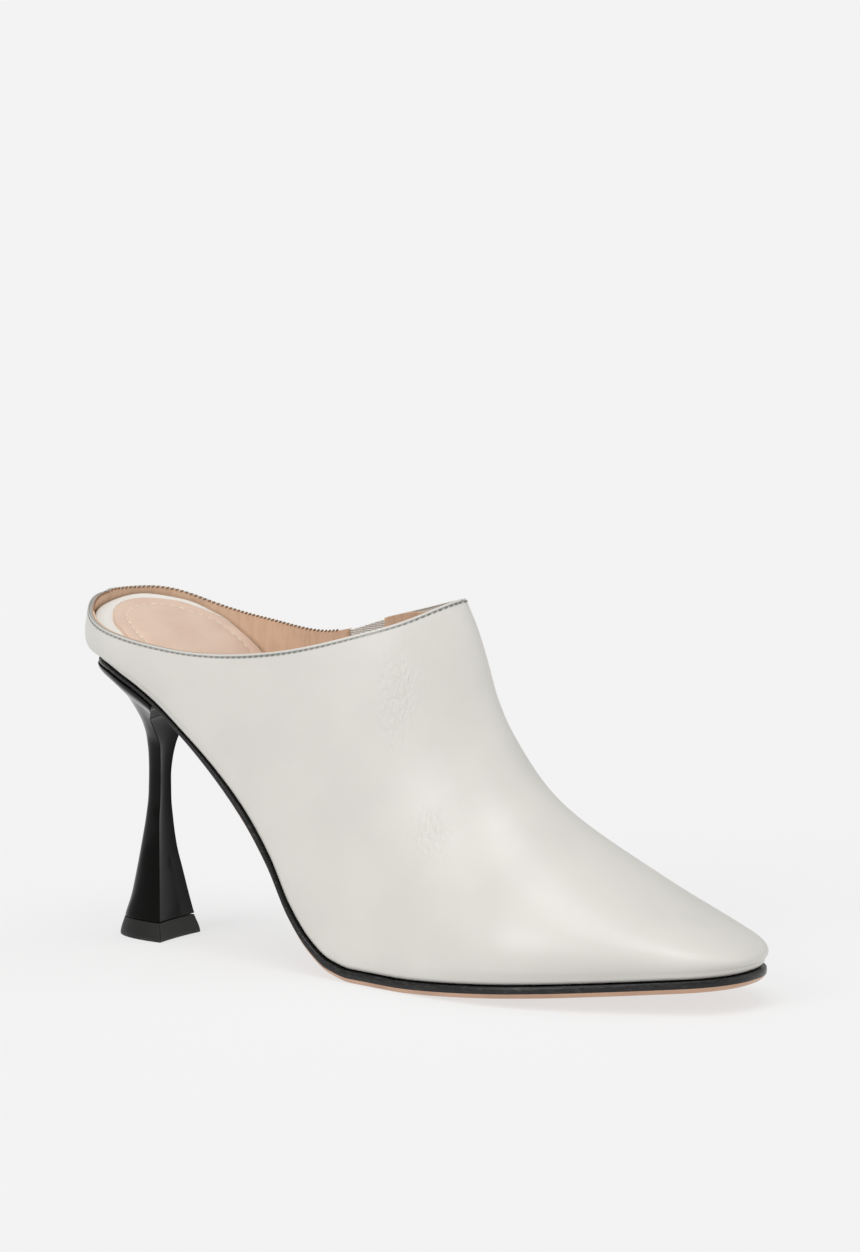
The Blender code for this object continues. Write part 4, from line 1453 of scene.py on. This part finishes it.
    def sock_plan(self, stations: Array, inset: Array | float, steps: int = 72) -> Array:
        """Return a plan grid of the sock, its edge drawn in by an inset and its front rounded.

        Args:
            stations: Its stations.
            inset: Distance inside the sock's edge.
            steps: Columns across it.

        Returns:
            The grid of points, whose heights are still to be set.
        """
        last = self.last
        ahead = np.clip((stations - self.sock_round_start) / (self.sock_end - self.sock_round_start), 0, 1)
        close = (1 - ahead**2.5) ** 0.4
        border = last.wall + 3 * last.fit_gap + self.sock_border * monotone(FOOTBED, "border")(stations)
        edges = []
        for side in (-1.0, 1.0):
            edge = last.footbed_edge(stations, side, 1.0, border + inset)
            edge[:, 1] *= close
            edges.append(edge)
        return across(*edges, steps)

    @property
    def sock_stations(self) -> Array:
        """Stations of the sock, crowded at its round heel and its round front."""
        heel = self.last.heel_curve_end
        back = heel * (1 - np.cos(np.linspace(0, QUARTER_TURN, 28)))
        front = self.sock_end - (self.sock_end - heel) * np.linspace(1, 0, 90) ** 1.6
        return np.concatenate([back, front[1:]])

    def build_sock(self) -> Piece:
        """Make the padded sock.

        Its top rises from a thin edge as a quarter circle, dips along the seam in a narrow bell and swells
        inside it.
        """
        last = self.last
        plan = self.sock_plan(self.sock_stations, 0.0)
        ring = rim(plan)
        outline = by_length(np.append(ring, ring[:1], 0) * (1, 1, 0), 0.4 * MM)[0]
        inside = distance_to((plan * (1, 1, 0)).reshape(-1, 3), outline).reshape(plan.shape[:2])
        inside[0], inside[-1], inside[:, 0], inside[:, -1] = 0, 0, 0, 0
        soft = np.clip(inside / self.edge_round, 0, 1)
        rise = self.sock_edge + (self.sock_thickness - self.sock_edge) * np.sqrt(1 - (1 - soft) ** 2)
        rise = rise + self.crown * np.clip((inside - self.sock_seam) / self.crown_reach, 0, 1) ** 0.7
        rise = rise - self.dent * bell(inside, self.sock_seam, self.dent_width)
        x, y = plan[..., 0], plan[..., 1]
        low, top = plan.copy(), plan.copy()
        low[..., 2] = last.footbed(x, y, -0.05 * MM)
        top[..., 2] = last.footbed(x, y, rise)
        finish = SoftLeather("sock_leather", (0.690, 0.515, 0.405), (0.650, 0.470, 0.370), 0.55, sheen=0.15)
        piece = plate_object("padded_sock", [low, top], 60)
        sock = carry(piece, [finish.material()], "sock_leather", "heel_sock")
        return sock

    def sew_sock(self) -> Piece:
        """Sew the seam that runs round the sock inside its edge."""
        last = self.last
        stations = self.sock_stations
        plan = self.sock_plan(stations[stations < self.sock_round_start + 0.03], self.sock_seam)
        path = np.concatenate([plan[::-1, 0], plan[1:, -1]])
        x, y = path[:, 0], path[:, 1]
        path[:, 2] = last.footbed(x, y, self.sock_thickness - self.dent + 0.05 * MM)
        step = 0.1 * MM
        slope_x = (last.footbed(x + step, y) - last.footbed(x - step, y)) / (2 * step)
        slope_y = (last.footbed(x, y + step) - last.footbed(x, y - step)) / (2 * step)
        normal = unit(np.stack([-slope_x, -slope_y, np.ones(len(x))], -1))
        thread = Thread("sock_thread", (0.880, 0.780, 0.610))
        row = StitchRow("sock_stitches", thread, "sock_leather", 3.0 * MM, 1.8 * MM, 0.46 * MM, 0.14 * MM)
        return row.build([(path, normal)])

    def build(self) -> None:
        """Make every piece on the bottom."""
        self.build_sole()
        self.build_insole()
        self.build_sock()
        self.sew_sock()


@dataclass
class Heel:
    """The flared heel and its tip."""

    last: Last = LAST
    seat_length: float = 31.0 * MM
    tip_thickness: float = 6.0 * MM
    hollow: float = 0.6 * MM
    proud: float = 0.2 * MM
    corner: float = 0.35 * MM
    crease_angle: float = 38.0
    power: float = 2.2
    blend_start: float = 0.6

    def section(self, station: float, height: Callable[[Array, Array], Array]) -> Array:
        """Return the closed D-shaped section at a share of the heel's height.

        The back is a superellipse low down and the feather edge at the seat, blended by the height's square,
        and the flat breast is hollowed by a parabola.

        Args:
            station: Share of the heel's height.
            height: The height of a point from its place in plan.

        Returns:
            The ring of points, from one front corner round the back to the other and along the breast.
        """
        last = self.last
        seat = self.seat_length / last.length
        turn = np.linspace(QUARTER_TURN, 0, 33)
        places = seat * (1 - np.cos(turn))
        breast = self.seat_length * monotone(HEEL, "breast")(station) - last.tread_x
        depth = self.seat_length * monotone(HEEL, "depth")(station)
        half = last.half_width(np.array(seat), -1.0) + self.proud
        width = half * monotone(HEEL, "width")(station)
        reach = (np.cos(turn) ** self.power + np.sin(turn) ** self.power) ** (-1 / self.power)
        blend = np.clip((station - self.blend_start) / (1 - self.blend_start), 0, 1) ** 2
        sides = []
        for side in (-1.0, 1.0):
            edge = last.edge(places, side, self.proud, 0.0)
            seat_back = (self.seat_length - last.tread_x - edge[:, 0]) / self.seat_length
            back = blend * seat_back + (1 - blend) * reach * np.cos(turn)
            out = blend * edge[:, 1] / half + (1 - blend) * side * reach * np.sin(turn)
            out[-1] = 0
            sides.append(np.stack([breast - depth * back, width * out], -1))
        sides[0][0, 0] = sides[1][0, 0] = breast
        front = np.linspace(1, -1, 25)[1:-1]
        flat = np.stack([breast - self.hollow * (1 - front**2), sides[1][0, 1] * front], -1)
        flat[:, 1] = np.where(front > 0, sides[1][0, 1] * front, -sides[0][0, 1] * front)
        plan = np.concatenate([sides[0], sides[1][::-1][1:], flat])
        return np.stack([plan[:, 0], plan[:, 1], height(plan[:, 0], plan[:, 1])], -1)

    def stack(self, name: str, sections: list[Array]) -> Piece:
        """Make a closed solid from like sections, capped at both ends, with eased edges."""
        rows, columns = len(sections), len(sections[0])
        caps = []
        for ring in (sections[0], sections[-1]):
            caps += [ring, np.repeat(ring.mean(0)[None], columns, 0)]
        points = np.concatenate([*sections, *caps])
        first = rows * columns
        faces = [
            grid_faces(rows, columns, closed=True),
            grid_faces(2, columns, first, closed=True),
            grid_faces(2, columns, first + 2 * columns, closed=True),
        ]
        piece = mesh_object(name, points, np.concatenate(faces), crease_angle=self.crease_angle)
        ease = piece.modifiers.new("Eased edges", "BEVEL")
        ease.width, ease.segments = self.corner, 3
        ease.limit_method, ease.angle_limit = "ANGLE", np.radians(self.crease_angle)
        return piece

    def build_heel(self) -> Piece:
        """Make the heel, whose top follows the underside of the seat."""
        last = self.last

        def level(station: float) -> Callable[[Array, Array], Array]:
            """Return the height of the section at a share of the heel's height."""

            def height(x: Array, y: Array) -> Array:
                """Return the height between the tip and the sole under the seat."""
                sole = last.sole_thickness * monotone(BOTTOM, "sole")((x + last.tread_x) / last.length)
                under = last.bottom(x, y) - 2 * last.fit_gap - sole
                return self.tip_thickness + station * (under - self.tip_thickness)

            return height

        shares = np.linspace(0, 1, 73)
        piece = self.stack("heel_block", [self.section(share, level(share)) for share in shares])
        return carry(piece, [Lacquer().material()], "heel_gloss", "heel")

    def build_tip(self) -> Piece:
        """Make the tip, which flares on towards the floor."""
        top = self.tip_thickness - self.last.fit_gap
        base = HEEL[0].station
        rings = [
            self.section(base * (1 - share), lambda x, y, share=share: 0 * x + top * share)
            for share in np.linspace(0, 1, 9)
        ]
        return carry(self.stack("heel_tip_block", rings), [TipRubber().material()], "tip_rubber", "heel_tip")

    def build(self) -> None:
        """Make the heel and its tip."""
        self.build_heel()
        self.build_tip()


@dataclass
class Studio:
    """A pale, faintly glowing floor, an even dome of light, three soft lamps and the photograph's camera."""

    azimuth: float = 32.0
    elevation: float = 9.8
    distance: float = 2.5
    focus: Triple = (0.015965, -0.02747, 0.0600)
    axis_rise: float = 0.0482
    roll: float = 0.5
    lens: float = 244.4
    sensor: float = 36.0
    clip: tuple[float, float] = (0.05, 200.0)
    floor_radius: float = 60.0
    floor_colour: Triple = (0.240, 0.240, 0.240)
    floor_glow: float = 0.640
    backdrop: float = 0.889
    dome: float = 0.50

    def build_camera(self) -> None:
        """Aim the camera: an azimuth round the shoe, an elevation above the floor and a small roll."""
        azimuth, elevation = np.radians(self.azimuth), np.radians(self.elevation)
        level = np.cos(elevation)
        back = Vector((np.sin(azimuth) * level, -np.cos(azimuth) * level, np.sin(elevation)))
        right = Vector((np.cos(azimuth), np.sin(azimuth), 0.0))
        roll = Matrix.Rotation(np.radians(self.roll), 3, back)
        up = roll @ back.cross(right)
        place = Vector(self.focus) + back * self.distance
        aim = Vector(self.focus) + up * self.axis_rise
        sight = (place - aim).normalized()
        across_view = up.cross(sight).normalized()
        data = bpy.data.cameras.new("camera")
        data.lens, data.sensor_width = self.lens, self.sensor
        data.clip_start, data.clip_end = self.clip
        camera = bpy.data.objects.new("camera", data)
        turned = Matrix((across_view, sight.cross(across_view), sight)).transposed()
        camera.matrix_world = Matrix.Translation(place) @ turned.to_4x4()
        bpy.context.scene.collection.objects.link(camera)
        bpy.context.scene.camera = camera

    def build_floor(self) -> None:
        """Lay a wide pale disc."""
        turn = np.linspace(0, 2 * np.pi, 65)[:-1]
        ring = np.stack([np.cos(turn), np.sin(turn), 0 * turn], -1) * self.floor_radius
        mesh = bpy.data.meshes.new("floor")
        mesh.from_pydata(ring.tolist(), [], [list(range(len(turn)))])
        floor = bpy.data.objects.new("floor", mesh)
        paint = Paint("studio_floor", self.floor_colour, 0.9, 0.0)
        paint.set("Emission Color", (1, 1, 1, 1))
        paint.set("Emission Strength", self.floor_glow)
        mesh.materials.append(paint.finish())
        bpy.context.scene.collection.objects.link(floor)
        floor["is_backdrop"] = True

    def build_lights(self) -> None:
        """Light the shoe from a dome, a key, a softbox and a faint rim fill; the camera sees a paler dome."""
        scene = bpy.context.scene
        world = bpy.data.worlds.new("studio")
        world.use_nodes = True
        tree = world.node_tree
        tree.nodes["Background"].inputs["Color"].default_value = (1, 1, 1, 1)
        seen = tree.nodes.new("ShaderNodeMapRange")
        seen.inputs["To Min"].default_value, seen.inputs["To Max"].default_value = self.dome, self.backdrop
        tree.links.new(tree.nodes.new("ShaderNodeLightPath").outputs["Is Camera Ray"], seen.inputs["Value"])
        tree.links.new(seen.outputs["Result"], tree.nodes["Background"].inputs["Strength"])
        scene.world = world
        scene.view_settings.view_transform = "Standard"
        self.sun("key", (-0.10, 0.30, -0.95), 1.2, 40.0)
        self.sun("softbox", (0.18, 0.86, -0.47), 0.9, 30.0)
        self.sun("rim_fill", (-0.80, -0.45, -0.40), 0.48, 60.0)

    def sun(self, name: str, direction: Triple, strength: float, width: float) -> None:
        """Add a distant soft lamp: its light travels in a direction, its disc is some degrees wide."""
        data = bpy.data.lights.new(name, "SUN")
        data.energy, data.angle = strength, np.radians(width)
        lamp = bpy.data.objects.new(name, data)
        lamp.rotation_mode = "QUATERNION"
        lamp.rotation_quaternion = Vector(direction).to_track_quat("-Z", "Y")
        bpy.context.scene.collection.objects.link(lamp)

    def build(self) -> None:
        """Set up camera, floor and lights."""
        self.build_camera()
        self.build_floor()
        self.build_lights()


def corners(box: tuple[Vector, Vector]) -> list[list[float]]:
    """Return a box's two corners as plain lists."""
    return [list(corner) for corner in box]


def main() -> None:
    """Load the frame, build each sub-assembly in order and work out both sizes."""
    logging.basicConfig(level=logging.INFO, format="%(name)s %(message)s")
    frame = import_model()
    solids = corners(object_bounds())
    LOG.info("frame: %d solids", len(frame["nodes"]))
    Studio().build()
    Upper().build()
    Bottom().build()
    Heel().build()
    {"cad": solids, "visual": corners(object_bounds())}


if __name__ == "__main__":
    main()
